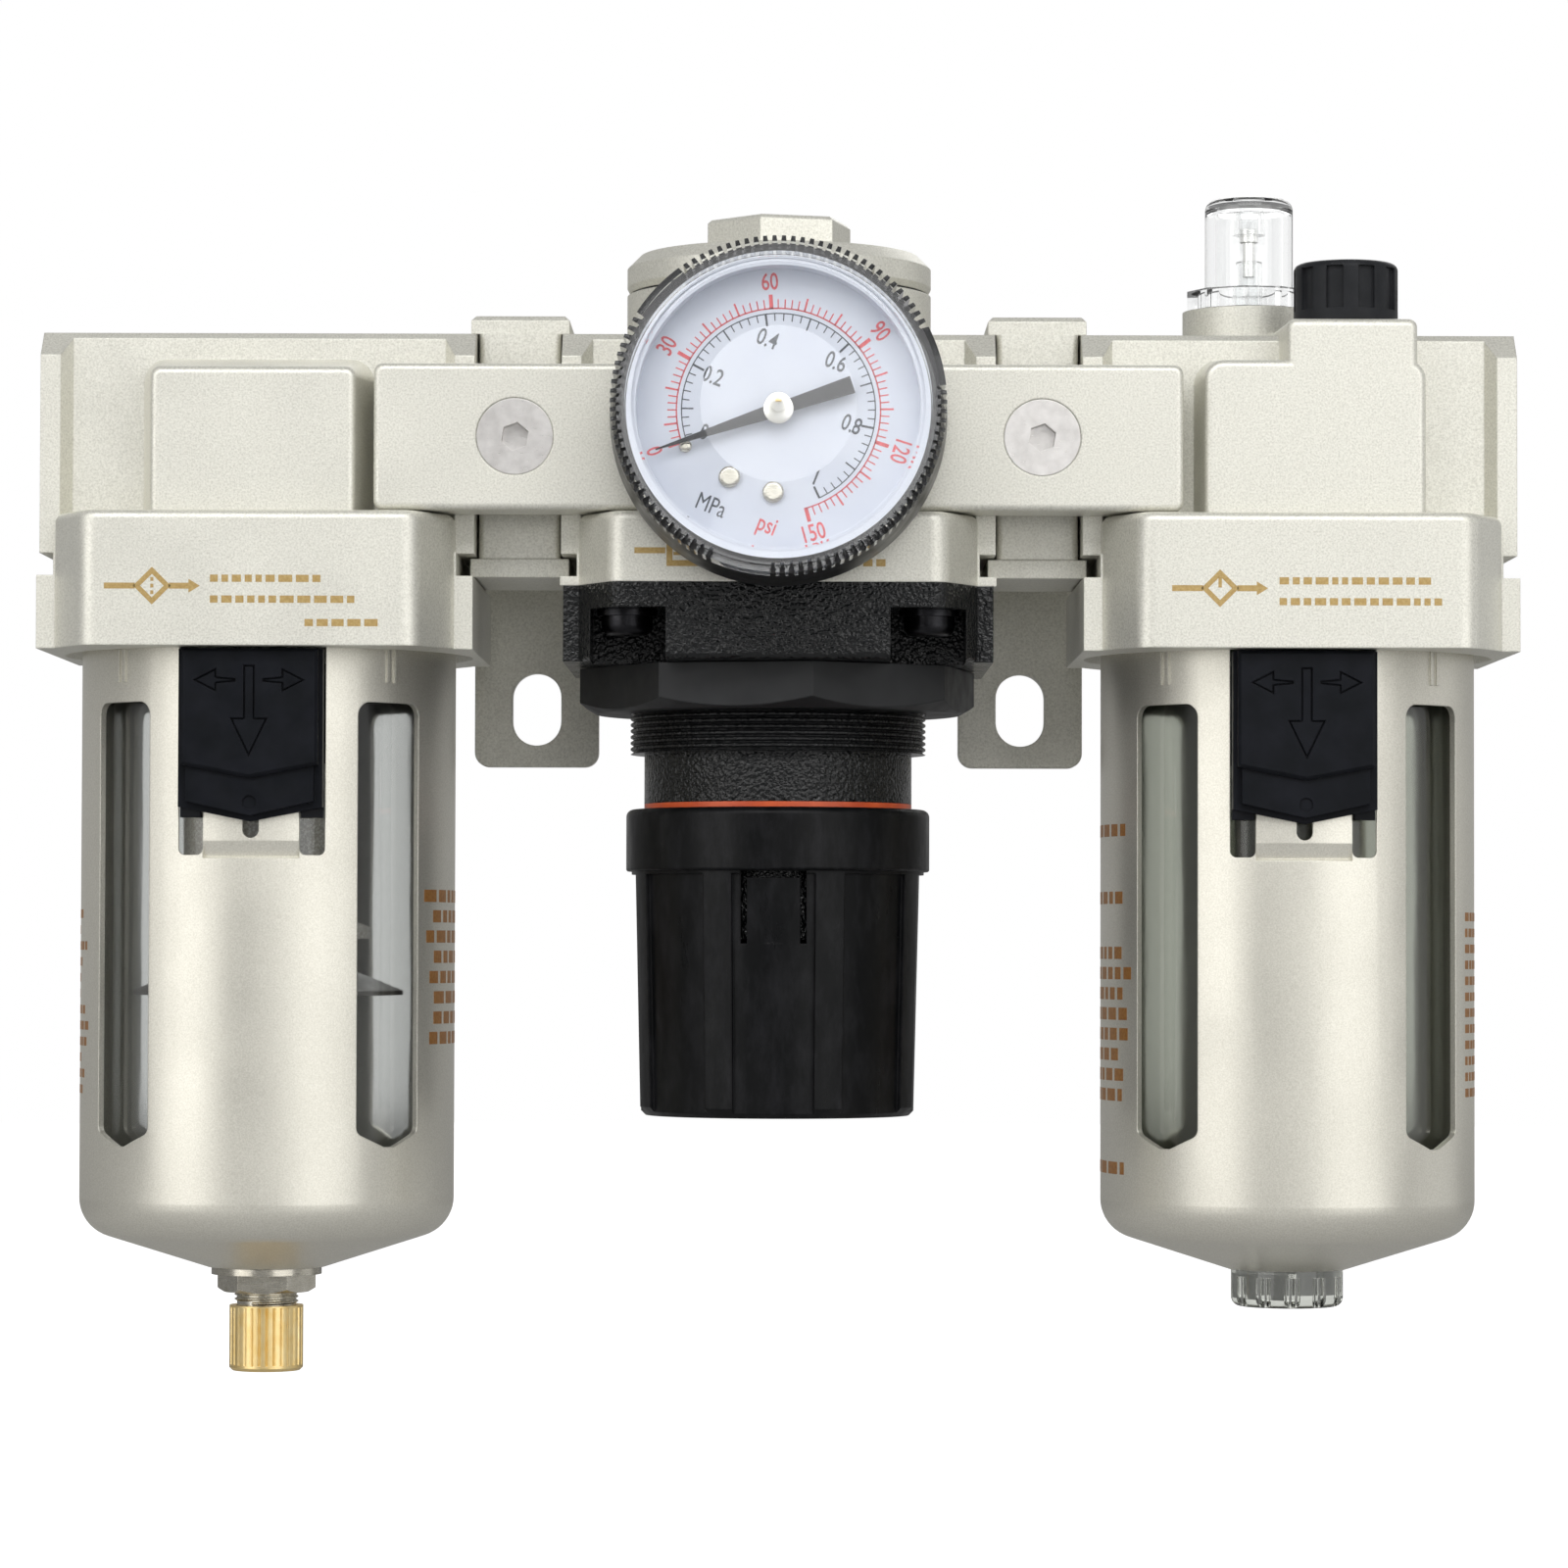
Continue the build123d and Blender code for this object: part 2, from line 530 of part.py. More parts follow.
def element_stud():
    """Long stud that holds the element stack up in the body, with a nut at its foot."""
    return cyl(SCREW_R - 0.05, -92.5, 14.0) + hexagon(9.0, -92.5, -89.55)


# --- regulator ----------------------------------------------------------------------------
def valve_cap():
    """Hexagon-headed cap that closes the valve chamber."""
    cap = turned([(0, 21.0), (22.0, 21.0), (22.0, 26.6), (REGULATOR_BOSS_R - 0.5, 26.6),
                  (REGULATOR_BOSS_R, 27.6), (REGULATOR_BOSS_R, 30.7), (23.0, 32.8), (0, 32.8)])
    head = hexagon(21.2, 32.5, 38.7, CAP_TURN)
    head = chamfer(head.faces().sort_by(Axis.Z)[-1].edges(), 0.6)
    return cap + head - cyl(6.5, 20, 25)


def poppet_valve():
    """Valve disc above the seat on a stem that reaches the diaphragm."""
    return cyl(8.5, 1.05, 4.0) + cyl(5.5, 4.0, 6.5) + cyl(2.0, -23.2, 1.5)


def diaphragm_disc():
    """Plate below the diaphragm with a rim that centres the spring."""
    return cyl(20.0, -26.5, -24.55) + tube(9.6, 7.5, -29.0, -26.0)


def bonnet():
    """Cast cover with a threaded neck for panel mounting and a sleeve inside the knob."""
    part = prism(collar_plan(), BONNET_BOTTOM, REGULATOR_COLLAR_BOTTOM)
    part = fillet(part.edges().filter_by(Axis.Z), 3.0)
    part = fillet(part.faces().sort_by(Axis.Z)[0].edges(), 1.0)
    part += both_sides(box(30, 34.5, -26.5, 26.5, BONNET_BOTTOM, REGULATOR_COLLAR_BOTTOM))
    for x in (-1, 1):
        for y in (-1, 1):
            part -= Pos(23.9 * x, 28.5 * y, -31.9) * Box(12.2, 21.0, 9.2)
            part -= cyl(2.6, -40, -20, BONNET_SCREW_X * x, BONNET_SCREW_Y * y)
    part += panel_thread() + cyl(NECK_R, NECK_BOTTOM, PANEL_THREAD_BOTTOM)
    part += cyl(SLEEVE_R, SLEEVE_BOTTOM, NECK_BOTTOM)
    part -= cyl(DIAPHRAGM_R + 0.2, -24.5, -22)
    part -= cyl(24.0, -32.0, -24) + cyl(15.0, -72.0, -30) + cyl(5.0, -85, -70)
    return part - cyl(12.0, -81, -78)


def panel_thread():
    """Panel mounting thread, as a stack of V grooves."""
    turns = int((BONNET_BOTTOM - PANEL_THREAD_BOTTOM) / THREAD_PITCH)
    points = [(15.0, BONNET_BOTTOM), (PANEL_THREAD_R, BONNET_BOTTOM)]
    for i in range(turns):
        top = BONNET_BOTTOM - 0.3 - i * THREAD_PITCH
        points += [(PANEL_THREAD_R, top), (PANEL_THREAD_R - 0.55, top - 0.35),
                   (PANEL_THREAD_R, top - 0.7)]
    points += [(PANEL_THREAD_R, PANEL_THREAD_BOTTOM), (15.0, PANEL_THREAD_BOTTOM)]
    return turned(points)


def bonnet_screws():
    """Four pan-head screws with washers that clamp the bonnet to the body."""
    screws = []
    for x in (-BONNET_SCREW_X, BONNET_SCREW_X):
        for y in (-BONNET_SCREW_Y, BONNET_SCREW_Y):
            head = cyl(4.1, -31.4, -28.0, x, y)
            head = fillet(head.faces().sort_by(Axis.Z)[0].edges(), 1.6)
            cross = box(x - 2.2, x + 2.2, y - 0.45, y + 0.45, -32, -30.0) \
                + box(x - 0.45, x + 0.45, y - 2.2, y + 2.2, -32, -30.0)
            washer = cyl(4.8, -28.3, -27.3, x, y)
            screws.append(head + washer + cyl(2.4, -28, -15, x, y) - cross)
    return screws


def panel_nut():
    """Eight-sided ring nut on the bonnet thread, chamfered underneath."""
    corners = [polar(NUT_CORNER_R, NUT_TURN + 45 * i) for i in range(8)]
    nut = prism(corners, -42.9, -35.6)
    reach = NUT_CORNER_R + 1
    cone = turned([(0, -35), (reach, -35), (reach, -40.6), (reach - 4, -42.9), (0, -42.9)])
    return (nut & cone) - cyl(PANEL_THREAD_R + 0.05, -50, -30)


def knob():
    """Deeply fluted cup-shaped knob with a snap finger in a window at the front."""
    body = turned([(0, KNOB_BOTTOM), (21.7, KNOB_BOTTOM), (23.2, KNOB_BOTTOM + 1.5), (24.1, -68.8),
                   (25.0, -68.8), (25.0, KNOB_TOP), (0, KNOB_TOP)], rounds=[(5, 1.2), (4, 0.4)])
    flute = turned([(23.35, -69.3), (26, -69.3), (26, KNOB_BOTTOM - 1), (22.4, KNOB_BOTTOM - 1)])
    for i in range(8):
        body -= Rot(0, 0, 45 * i - 90) * (flute & wedge(33.0, 40.0))
    body -= cyl(21.2, KNOB_BOTTOM + 3.0, -55) + cyl(22.4, -65, -55)
    hub = cyl(7.5, KNOB_BOTTOM + 1, -84) - hexagon(8.1, -104, -80)
    window = box(-5.3, 5.3, -27, -20, -80.6, -68.9) - box(-4.3, 4.3, -27, -18, -81, -70.0)
    tongue = box(-4.3, 4.3, -27, -23.0, -80.6, -70.0)
    return Rot(0, 0, KNOB_TURN) * (body + hub - window - tongue)


def wedge(width, reach):
    """Upright wedge centred on +X, for cutting a stretch of a ring."""
    half = math.radians(width / 2)
    edge = reach * math.tan(half)
    return prism([(0, 0), (reach, -edge), (reach, edge)], KNOB_BOTTOM - 2, KNOB_TOP)


def adjusting_screw():
    """Screw turned by the knob: hexagon drive, thrust collar and threaded end."""
    screw = hexagon(7.9, -101.0, -81.0) + cyl(9.0, -81.0, -78.2) + cyl(4.9, -79, -71.5)
    return screw + cyl(7.0, -71.9, -70.8) + cyl(4.0, -71, -40.0)


def spring_seat():
    """Threaded plate that the screw drives up against the spring, kept from turning by lugs."""
    seat = cyl(14.3, -66.0, -62.0) + tube(9.8, 4.1, -66.0, -58.5)
    return seat - cyl(4.1, -70, -50)


# --- gauge --------------------------------------------------------------------------------
def gauge_case():
    """Black cup that holds the movement and carries the cover."""
    return turned_front([(4.0, GAUGE_CASE_BACK), (GAUGE_CASE_R - 0.6, GAUGE_CASE_BACK),
                         (GAUGE_CASE_R, 42.0), (GAUGE_R - 0.4, 54.8), (RIM_R, 54.8),
                         (RIM_R, 57.0), (23.0, 57.0), (23.0, 42.0), (4.0, 42.0)],
                        rounds=[(1, 2.0)])


def gauge_cover():
    """Clear screwed cover with a ribbed rim in three groups and a slightly domed window."""
    points = []
    for i in range(GAUGE_RIBS):
        angle = 360.0 * i / GAUGE_RIBS
        smooth = any(abs(angle % 120 - pad) < 4.5 for pad in PAD_ANGLES)
        valley = GAUGE_R if smooth else GAUGE_R - RIB_HEIGHT
        points += [polar(GAUGE_R, angle), polar(GAUGE_R, angle + 1.3),
                   polar(valley, angle + 1.7), polar(valley, angle + 2.8)]
    rim = Pos(0, 0, GAUGE_Z) * Rot(90, 0, 0) * prism(points, 55.0, 65.2)
    limit = turned_front([(0, 50), (27, 50), (27, 64.2), (GAUGE_R, 64.2),
                          (GAUGE_R - 1.0, 65.2), (0, 65.2)])
    rim = (rim & limit) - cyl_y(RIM_R + 0.1, -62, -50, z=GAUGE_Z)
    rim -= cyl_y(22.6, -70, -50, z=GAUGE_Z)
    dome = turned_front([(0, 63.6), (12, 63.35), (22.0, 62.4), (23.4, 62.2), (23.4, 64.3),
                         (22.2, 64.8), (12, 65.3), (0, 65.5)])
    return rim + dome


def gauge_stem():
    """Brass socket block: pipe thread, spanner hexagon and the spigot inside the case."""
    thread = cyl_y(6.5, -32.5, -20, z=GAUGE_Z)
    flats = Pos(0, 0, GAUGE_Z) * Rot(90, 0, 0) * hexagon(14.0, 32.0, GAUGE_CASE_BACK - 0.05)
    spigot = cyl_y(3.9, -46.5, -GAUGE_CASE_BACK + 0.5, z=GAUGE_Z)
    return thread + flats + spigot - cyl_y(1.5, -42, -19, z=GAUGE_Z) \
        - cyl_y(0.85, -47, -43, z=GAUGE_Z)


def gauge_dial():
    """Shallow dish whose lip lies on the case's rim, with a hole for the pointer spindle."""
    back, face = DIAL_DEPTH - 0.4, DIAL_DEPTH + 0.4
    return turned_front([(1.2, back), (DIAL_R, back), (DIAL_R, 57.05), (RIM_R, 57.05),
                         (RIM_R, 57.6), (DIAL_R - 0.6, 57.6), (DIAL_R - 0.6, face), (1.2, face)])


def gauge_pointer():
    """Pointer with a narrow tip and a broad tail, on its spindle."""
    tail = plate_y([(0, -0.9), (12.1, -1.35), (12.1, 1.35), (0, 0.9)],
                   -POINTER_DEPTH - 0.3, -POINTER_DEPTH + 0.3)
    tip = plate_y([(-20.2, -0.1), (0, -1.15), (0, 1.15), (-20.2, 0.1)],
                  -POINTER_DEPTH - 0.3, -POINTER_DEPTH + 0.3)
    turned_blade = Rot(0, -(POINTER_ANGLE - 180), 0) * (tail + tip)
    return Pos(0, 0, GAUGE_Z) * (turned_blade + cyl_y(2.3, -POINTER_DEPTH - 0.7, -POINTER_DEPTH)
                                 + cyl_y(0.8, -POINTER_DEPTH, -44.5))


def bourdon_tube():
    """Flattened C-shaped pressure tube between the stem and the dial."""
    loop = Pos(0, 0, GAUGE_Z) * Rot(90, 0, 0) * Pos(0, 0, 47.5) * Torus(15.0, 1.6)
    gap = Pos(0, -47.5, GAUGE_Z) * Rot(0, 30, 0) * box(0, 20, -3, 3, -9, 9)
    leg = cyl_x(1.2, 3.95, 14.0, y=-45.4, z=GAUGE_Z)
    return (loop - gap) + Pos(0, 0, GAUGE_Z) * Rot(0, -75, 0) * Pos(0, 0, -GAUGE_Z) * leg


def gauge_dial_screws():
    """Two round-headed dial screws and the pointer's stop pin."""
    pieces = []
    for angle, radius, size in ((234.0, 13.1, 1.7), (266.4, 13.0, 1.7), (201.6, 15.7, 1.0)):
        x, z = polar(radius, angle)
        head = cyl_y(size, -DIAL_DEPTH - 1.35, -DIAL_DEPTH - 0.42, x, z + GAUGE_Z)
        head = fillet(head.faces().sort_by(Axis.Y)[0].edges(), 0.6)
        pieces.append(head)
    return pieces


def gauge_port_plug():
    """Socket plug in the rear gauge port."""
    return cyl_y(6.5, 15.5, 23.6, z=GAUGE_Z) \
        - Pos(0, 24, GAUGE_Z) * Rot(90, 0, 0) * hexagon(6.0, 0, 5)


# --- lubricator ---------------------------------------------------------------------------
def sight_dome():
    """Clear dome over the drip tube, with a many-sided ring for adjusting the drip."""
    roof = DOME_TOP - 1.9
    dome = turned([(5.6, 24.8), (7.3, 24.8), (7.3, DOME_TOP), (0, DOME_TOP), (0, roof),
                   (5.6, roof)], rounds=[(2, 1.8), (5, 0.8)])
    corners = [polar(10.5, 36 * i + 8) for i in range(10)]
    collar_ring = prism(corners, 24.8, 28.0)
    spigot = cyl(9.0, 22.6, 24.9)
    dome = dome + collar_ring + spigot - cyl(5.6, 20, 30)
    return Pos(DOME_X, DOME_Y, 0) * (dome + tube(2.7, 1.7, 37.5, roof + 0.4))


def drip_tube():
    """Clear nozzle block under the dome, with the tube that the oil drips from."""
    part = tube(8.6, 1.2, 20.0, 22.4) + tube(2.2, 1.25, 22.0, 33.0)
    return Pos(DOME_X, DOME_Y, 0) * part


def drip_needle():
    """Needle that meters the drip, on the dome's axis."""
    return Pos(DOME_X, DOME_Y, 0) * (cyl(1.0, 30.5, 36.5) + cyl(1.5, 36.3, 38.45))


def filler_plug():
    """Fluted filler cap with a threaded stem."""
    cap = cyl(8.4, FILLER_SEAT + 0.2, FILLER_TOP)
    cap = fillet(cap.faces().sort_by(Axis.Z)[-1].edges(), 1.2)
    for i in range(10):
        cap -= Rot(0, 0, 36 * i) * (tube(9.5, 7.75, 21.6, 28.4) & Pos(0, 0, 130) * wedge(19, 15))
    cap -= tube(7.9, 5.5, FILLER_SEAT - 0.5, FILLER_SEAT + 2.0)
    return Pos(FILLER_X, FILLER_Y, 0) * (cap + cyl(5.5, 6.0, 21.0))


def filler_plug_seal():
    """O-ring under the filler cap."""
    return ring(6.7, 0.9, FILLER_SEAT + 0.95, FILLER_X, FILLER_Y)


def siphon_tube():
    """Tube that lifts oil from the bowl to the dome."""
    return tube(2.5, 1.5, -115.0, -9.0, DOME_X, DOME_Y)


def siphon_strainer():
    """Sintered strainer on the foot of the siphon tube."""
    part = turned([(2.55, -112), (4.5, -112), (4.5, -120), (0, -120), (0, -116), (2.55, -116)],
                  rounds=[(2, 0.8)])
    return Pos(DOME_X, DOME_Y, 0) * part


def flow_vane():
    """Springy flap in the through bore that makes the pressure drop for the oil."""
    frame = cyl_x(PASSAGE_R - 0.05, 3.0, 4.2) - cyl_x(7.4, 2, 5)
    return frame + cyl_x(6.8, 3.2, 4.0) + box(3.2, 4.0, -2.0, 2.0, 6.5, 7.8)


# --- every sub-part -----------------------------------------------------------------------
os.makedirs("parts", exist_ok=True)

save("filter_body", filter_body(), FILTER_X)
save("deflector", deflector(), FILTER_X)
save("filter_element", filter_element(), FILTER_X)
save("element_baffle", element_baffle(), FILTER_X)
save("element_stud", element_stud(), FILTER_X)
save("filter_bowl", filter_bowl(), FILTER_X)
save("drain_guide", drain_guide(), FILTER_X)
save("drain_seal", tube(7.4, 5.2, -127.15, -126.25), FILTER_X)
save("drain_washer", tube(9.05, 5.2, -135.1, -133.95), FILTER_X)
save("drain_nut", drain_nut(), FILTER_X)
save("drain_knob", drain_knob(), FILTER_X)
save("drain_pin", drain_pin(), FILTER_X)

for side, module_x in (("filter", FILTER_X), ("lubricator", LUBRICATOR_X)):
    save(f"{side}_bowl_seal", bowl_seal(), module_x)
    save(f"{side}_guard", guard(), module_x)
    save(f"{side}_lock_button", lock_button(), module_x)
    save(f"{side}_lock_spring", lock_spring(), module_x)

save("regulator_body", regulator_body(), REGULATOR_X)
save("valve_cap", valve_cap(), REGULATOR_X)
save("valve_cap_seal", tube(24.5, 22.3, 26.22, 26.58), REGULATOR_X)
save("poppet_valve", poppet_valve(), REGULATOR_X)
save("valve_spring", coil(4.8, 0.5, 6, 6.55, 24.9), REGULATOR_X)
save("diaphragm", tube(DIAPHRAGM_R, 2.3, -24.5, -23.35), REGULATOR_X)
save("diaphragm_disc", diaphragm_disc(), REGULATOR_X)
save("bonnet", bonnet(), REGULATOR_X)
save("bonnet_screws", bonnet_screws(), REGULATOR_X)
save("panel_nut", panel_nut(), REGULATOR_X)
save("adjusting_spring", coil(11.8, 1.6, 7, -61.95, -26.55), REGULATOR_X)
save("spring_seat", spring_seat(), REGULATOR_X)
save("adjusting_screw", adjusting_screw(), REGULATOR_X)
save("lock_ring", tube(NECK_R, SLEEVE_R + 0.02, -61.5, NECK_BOTTOM), REGULATOR_X)
save("knob", knob(), REGULATOR_X)

save("gauge_case", gauge_case(), REGULATOR_X)
save("gauge_cover", gauge_cover(), REGULATOR_X)
save("gauge_stem", gauge_stem(), REGULATOR_X)
save("gauge_dial", gauge_dial(), REGULATOR_X)
save("gauge_pointer", gauge_pointer(), REGULATOR_X)
save("bourdon_tube", bourdon_tube(), REGULATOR_X)
save("gauge_dial_screws", gauge_dial_screws(), REGULATOR_X)
save("gauge_port_plug", gauge_port_plug(), REGULATOR_X)

save("lubricator_body", lubricator_body(), LUBRICATOR_X)
save("lubricator_bowl", lubricator_bowl(), LUBRICATOR_X)
save("sight_dome", sight_dome(), LUBRICATOR_X)
save("drip_tube", drip_tube(), LUBRICATOR_X)
save("drip_needle", drip_needle(), LUBRICATOR_X)
save("filler_plug", filler_plug(), LUBRICATOR_X)
save("filler_plug_seal", filler_plug_seal(), LUBRICATOR_X)
save("siphon_tube", siphon_tube(), LUBRICATOR_X)
save("siphon_strainer", siphon_strainer(), LUBRICATOR_X)
save("flow_vane", flow_vane(), LUBRICATOR_X)

save("spacers", [spacer(x) for x in SPACER_X])
save("spacer_seals", spacer_seals())
save("clamp_plates", [clamp_plate(x) for x in SPACER_X])
save("clamp_screws", [clamp_screw(x) for x in SPACER_X])
save("wall_brackets", [wall_bracket(x) for x in SPACER_X])
save("bracket_screws", [bracket_screw(x) for x in SPACER_X])
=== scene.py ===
import json
import math
import random

import bmesh
import bpy
from mathutils import Matrix, Vector


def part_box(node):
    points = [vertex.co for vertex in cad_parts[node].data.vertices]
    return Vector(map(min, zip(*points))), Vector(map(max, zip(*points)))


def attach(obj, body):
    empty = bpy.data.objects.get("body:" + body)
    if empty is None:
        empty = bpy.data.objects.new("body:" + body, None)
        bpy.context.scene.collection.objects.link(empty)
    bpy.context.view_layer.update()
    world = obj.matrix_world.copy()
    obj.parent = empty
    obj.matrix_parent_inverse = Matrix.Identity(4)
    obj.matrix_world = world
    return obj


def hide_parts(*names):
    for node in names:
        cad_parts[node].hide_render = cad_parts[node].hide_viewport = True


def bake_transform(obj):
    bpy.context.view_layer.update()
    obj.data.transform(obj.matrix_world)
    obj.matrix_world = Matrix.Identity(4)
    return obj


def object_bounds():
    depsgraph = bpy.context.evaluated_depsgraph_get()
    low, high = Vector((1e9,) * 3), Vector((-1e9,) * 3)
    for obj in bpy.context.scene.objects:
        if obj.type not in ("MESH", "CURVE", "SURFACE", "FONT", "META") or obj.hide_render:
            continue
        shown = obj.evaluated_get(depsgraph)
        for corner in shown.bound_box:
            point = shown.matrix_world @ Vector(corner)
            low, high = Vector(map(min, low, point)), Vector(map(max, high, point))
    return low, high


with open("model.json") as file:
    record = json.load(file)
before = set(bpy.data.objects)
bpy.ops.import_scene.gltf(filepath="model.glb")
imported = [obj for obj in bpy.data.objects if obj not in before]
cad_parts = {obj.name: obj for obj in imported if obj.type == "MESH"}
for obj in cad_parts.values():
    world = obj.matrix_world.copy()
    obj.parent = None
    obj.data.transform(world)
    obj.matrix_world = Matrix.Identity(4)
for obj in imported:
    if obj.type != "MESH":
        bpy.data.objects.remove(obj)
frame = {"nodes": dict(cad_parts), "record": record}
cad_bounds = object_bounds()

MM = 0.001
PRINT_LIFT = 0.03 * MM          # how far printed marks stand proud
PRINT_SINK = 0.01 * MM          # and how far they reach into the surface under them
BAR_STEP = 1.3                  # mm, short enough for a flat mark to follow a guard
FONT_HEIGHT = 0.70              # height of a numeral in Blender's own font at size 1
PLASTIC_IOR = 1.49
EDGE_SAMPLES = 4

record = frame["record"]
mounts = {mount["name"]: mount for mount in record["mounts"]}


# --- finishes -----------------------------------------------------------------------------
class Finish:
    """A material with one Principled shader, and short calls for the detail on it."""

    def __init__(self, name, color, roughness, metallic=0.0, **sockets):
        self.material = bpy.data.materials.new(name)
        self.material.use_nodes = True
        self.tree = self.material.node_tree
        self.shader = self.tree.nodes["Principled BSDF"]
        self.shader.inputs["Base Color"].default_value = (*color, 1)
        self.shader.inputs["Roughness"].default_value = roughness
        self.shader.inputs["Metallic"].default_value = metallic
        for socket, value in sockets.items():
            self.shader.inputs[socket.replace("_", " ")].default_value = value
        self.position = self.tree.nodes.new("ShaderNodeTexCoord").outputs["Object"]
        self.normal = None

    def node(self, kind, **settings):
        made = self.tree.nodes.new(kind)
        for name, value in settings.items():
            setattr(made, name, value)
        return made

    def link(self, source, target):
        self.tree.links.new(source, target)

    def stretched(self, stretch):
        """Object position scaled along each axis, for marks that run one way."""
        mapping = self.node("ShaderNodeMapping")
        mapping.inputs["Scale"].default_value = stretch
        self.link(self.position, mapping.inputs["Vector"])
        return mapping.outputs["Vector"]

    def noise(self, size_mm, detail=2.0, rough=0.5, stretch=None):
        """Cloudy pattern from 0 to 1 whose features are about size_mm across."""
        texture = self.node("ShaderNodeTexNoise")
        texture.inputs["Scale"].default_value = 1 / (size_mm * MM)
        texture.inputs["Detail"].default_value = detail
        texture.inputs["Roughness"].default_value = rough
        self.link(self.stretched(stretch) if stretch else self.position, texture.inputs["Vector"])
        return texture.outputs["Fac"]

    def cells(self, size_mm):
        """Distance to the nearest of scattered points about size_mm apart."""
        texture = self.node("ShaderNodeTexVoronoi")
        texture.inputs["Scale"].default_value = 1 / (size_mm * MM)
        self.link(self.position, texture.inputs["Vector"])
        return texture.outputs["Distance"]

    def scaled(self, source, low, high, start=0.3, end=0.7):
        """source from start to end, spread over low to high."""
        spread = self.node("ShaderNodeMapRange")
        for socket, value in (("From Min", start), ("From Max", end), ("To Min", low),
                              ("To Max", high)):
            spread.inputs[socket].default_value = value
        self.link(source, spread.inputs["Value"])
        return spread.outputs["Result"]

    def colors(self, source, *stops):
        """Base colour from (position, colour) stops along source."""
        ramp = self.node("ShaderNodeValToRGB")
        while len(ramp.color_ramp.elements) < len(stops):
            ramp.color_ramp.elements.new(0.5)
        for element, (position, color) in zip(ramp.color_ramp.elements, stops):
            element.position = position
            element.color = (*color, 1)
        self.link(source, ramp.inputs["Fac"])
        self.link(ramp.outputs["Color"], self.shader.inputs["Base Color"])
        return self

    def roughness(self, source, low, high, start=0.3, end=0.7):
        self.link(self.scaled(source, low, high, start, end), self.shader.inputs["Roughness"])
        return self

    def rounded(self, radius_mm):
        """Softens the shading of hard edges over radius_mm. Comes before any bump."""
        bevel = self.node("ShaderNodeBevel", samples=EDGE_SAMPLES)
        bevel.inputs["Radius"].default_value = radius_mm * MM
        self.normal = bevel.outputs["Normal"]
        self.link(self.normal, self.shader.inputs["Normal"])
        return self

    def bump(self, source, height_mm):
        """Relief of height_mm from source, on top of what is there."""
        relief = self.node("ShaderNodeBump")
        relief.inputs["Distance"].default_value = height_mm * MM
        self.link(source, relief.inputs["Height"])
        if self.normal:
            self.link(self.normal, relief.inputs["Normal"])
        self.normal = relief.outputs["Normal"]
        self.link(self.normal, self.shader.inputs["Normal"])
        return self


def cast_paint():
    """Champagne-silver metallic paint over a shot-blasted casting."""
    paint = Finish("cast_paint", (0.72, 0.71, 0.64), 0.45, metallic=0.6)
    grain = paint.noise(0.32, detail=3, rough=0.6)
    paint.colors(grain, (0.30, (0.60, 0.59, 0.525)), (0.5, (0.73, 0.72, 0.65)),
                 (0.70, (0.83, 0.82, 0.75)))
    paint.roughness(paint.noise(14, detail=3), 0.40, 0.52)
    return paint.rounded(0.35).bump(grain, 0.018)


def guard_paint():
    """The same colour on drawn metal, smoother."""
    paint = Finish("guard_paint", (0.74, 0.72, 0.64), 0.38, metallic=0.8)
    grain = paint.noise(0.25, detail=2)
    paint.colors(grain, (0.30, (0.67, 0.65, 0.57)), (0.70, (0.81, 0.79, 0.71)))
    paint.roughness(paint.noise(20, detail=3), 0.34, 0.44)
    return paint.rounded(0.25).bump(grain, 0.008)


def wrinkle_paint():
    """Glossy black wrinkle finish on cast metal."""
    paint = Finish("wrinkle_paint", (0.004, 0.0045, 0.005), 0.15, Specular_IOR_Level=0.36)
    wrinkles = paint.noise(0.6, detail=1.5, rough=0.4)
    paint.roughness(paint.noise(6, detail=2), 0.11, 0.20)
    return paint.rounded(0.3).bump(wrinkles, 0.40)


def black_nut_finish():
    """Matt black oxide."""
    black = Finish("black_nut_finish", (0.016, 0.017, 0.019), 0.5, metallic=0.2)
    grain = black.noise(0.3, detail=2)
    black.colors(black.noise(9, detail=4), (0.3, (0.008, 0.0085, 0.0095)),
                 (0.75, (0.015, 0.016, 0.018)))
    black.roughness(black.noise(5, detail=4), 0.42, 0.60)
    return black.rounded(0.3).bump(grain, 0.008)


def knob_plastic():
    """Satin black plastic, rubbed and lightly scratched by hands."""
    black = Finish("knob_plastic", (0.004, 0.004, 0.005), 0.26, Specular_IOR_Level=0.14)
    wear = black.noise(3.0, detail=6, rough=0.7, stretch=(1, 1, 0.35))
    black.colors(wear, (0.45, (0.003, 0.0033, 0.0038)), (0.80, (0.014, 0.014, 0.016)))
    black.roughness(black.noise(4.5, detail=5, rough=0.65, stretch=(1, 1, 0.3)), 0.24, 0.46)
    return black.rounded(0.35).bump(black.noise(0.6, detail=3), 0.006)


def button_plastic(name, dark, light):
    """Dark moulded plastic with a fine texture."""
    black = Finish(name, dark, 0.36, Specular_IOR_Level=0.12)
    black.colors(black.noise(5, detail=4), (0.35, dark), (0.75, light))
    black.roughness(black.noise(3, detail=4), 0.34, 0.50)
    return black.rounded(0.2).bump(black.noise(0.25, detail=2), 0.008)


def gauge_case_plastic():
    """Black moulded case."""
    black = Finish("gauge_case_plastic", (0.012, 0.012, 0.013), 0.35)
    black.roughness(black.noise(4, detail=4), 0.28, 0.44)
    return black.rounded(0.3).bump(black.noise(0.4, detail=2), 0.006)


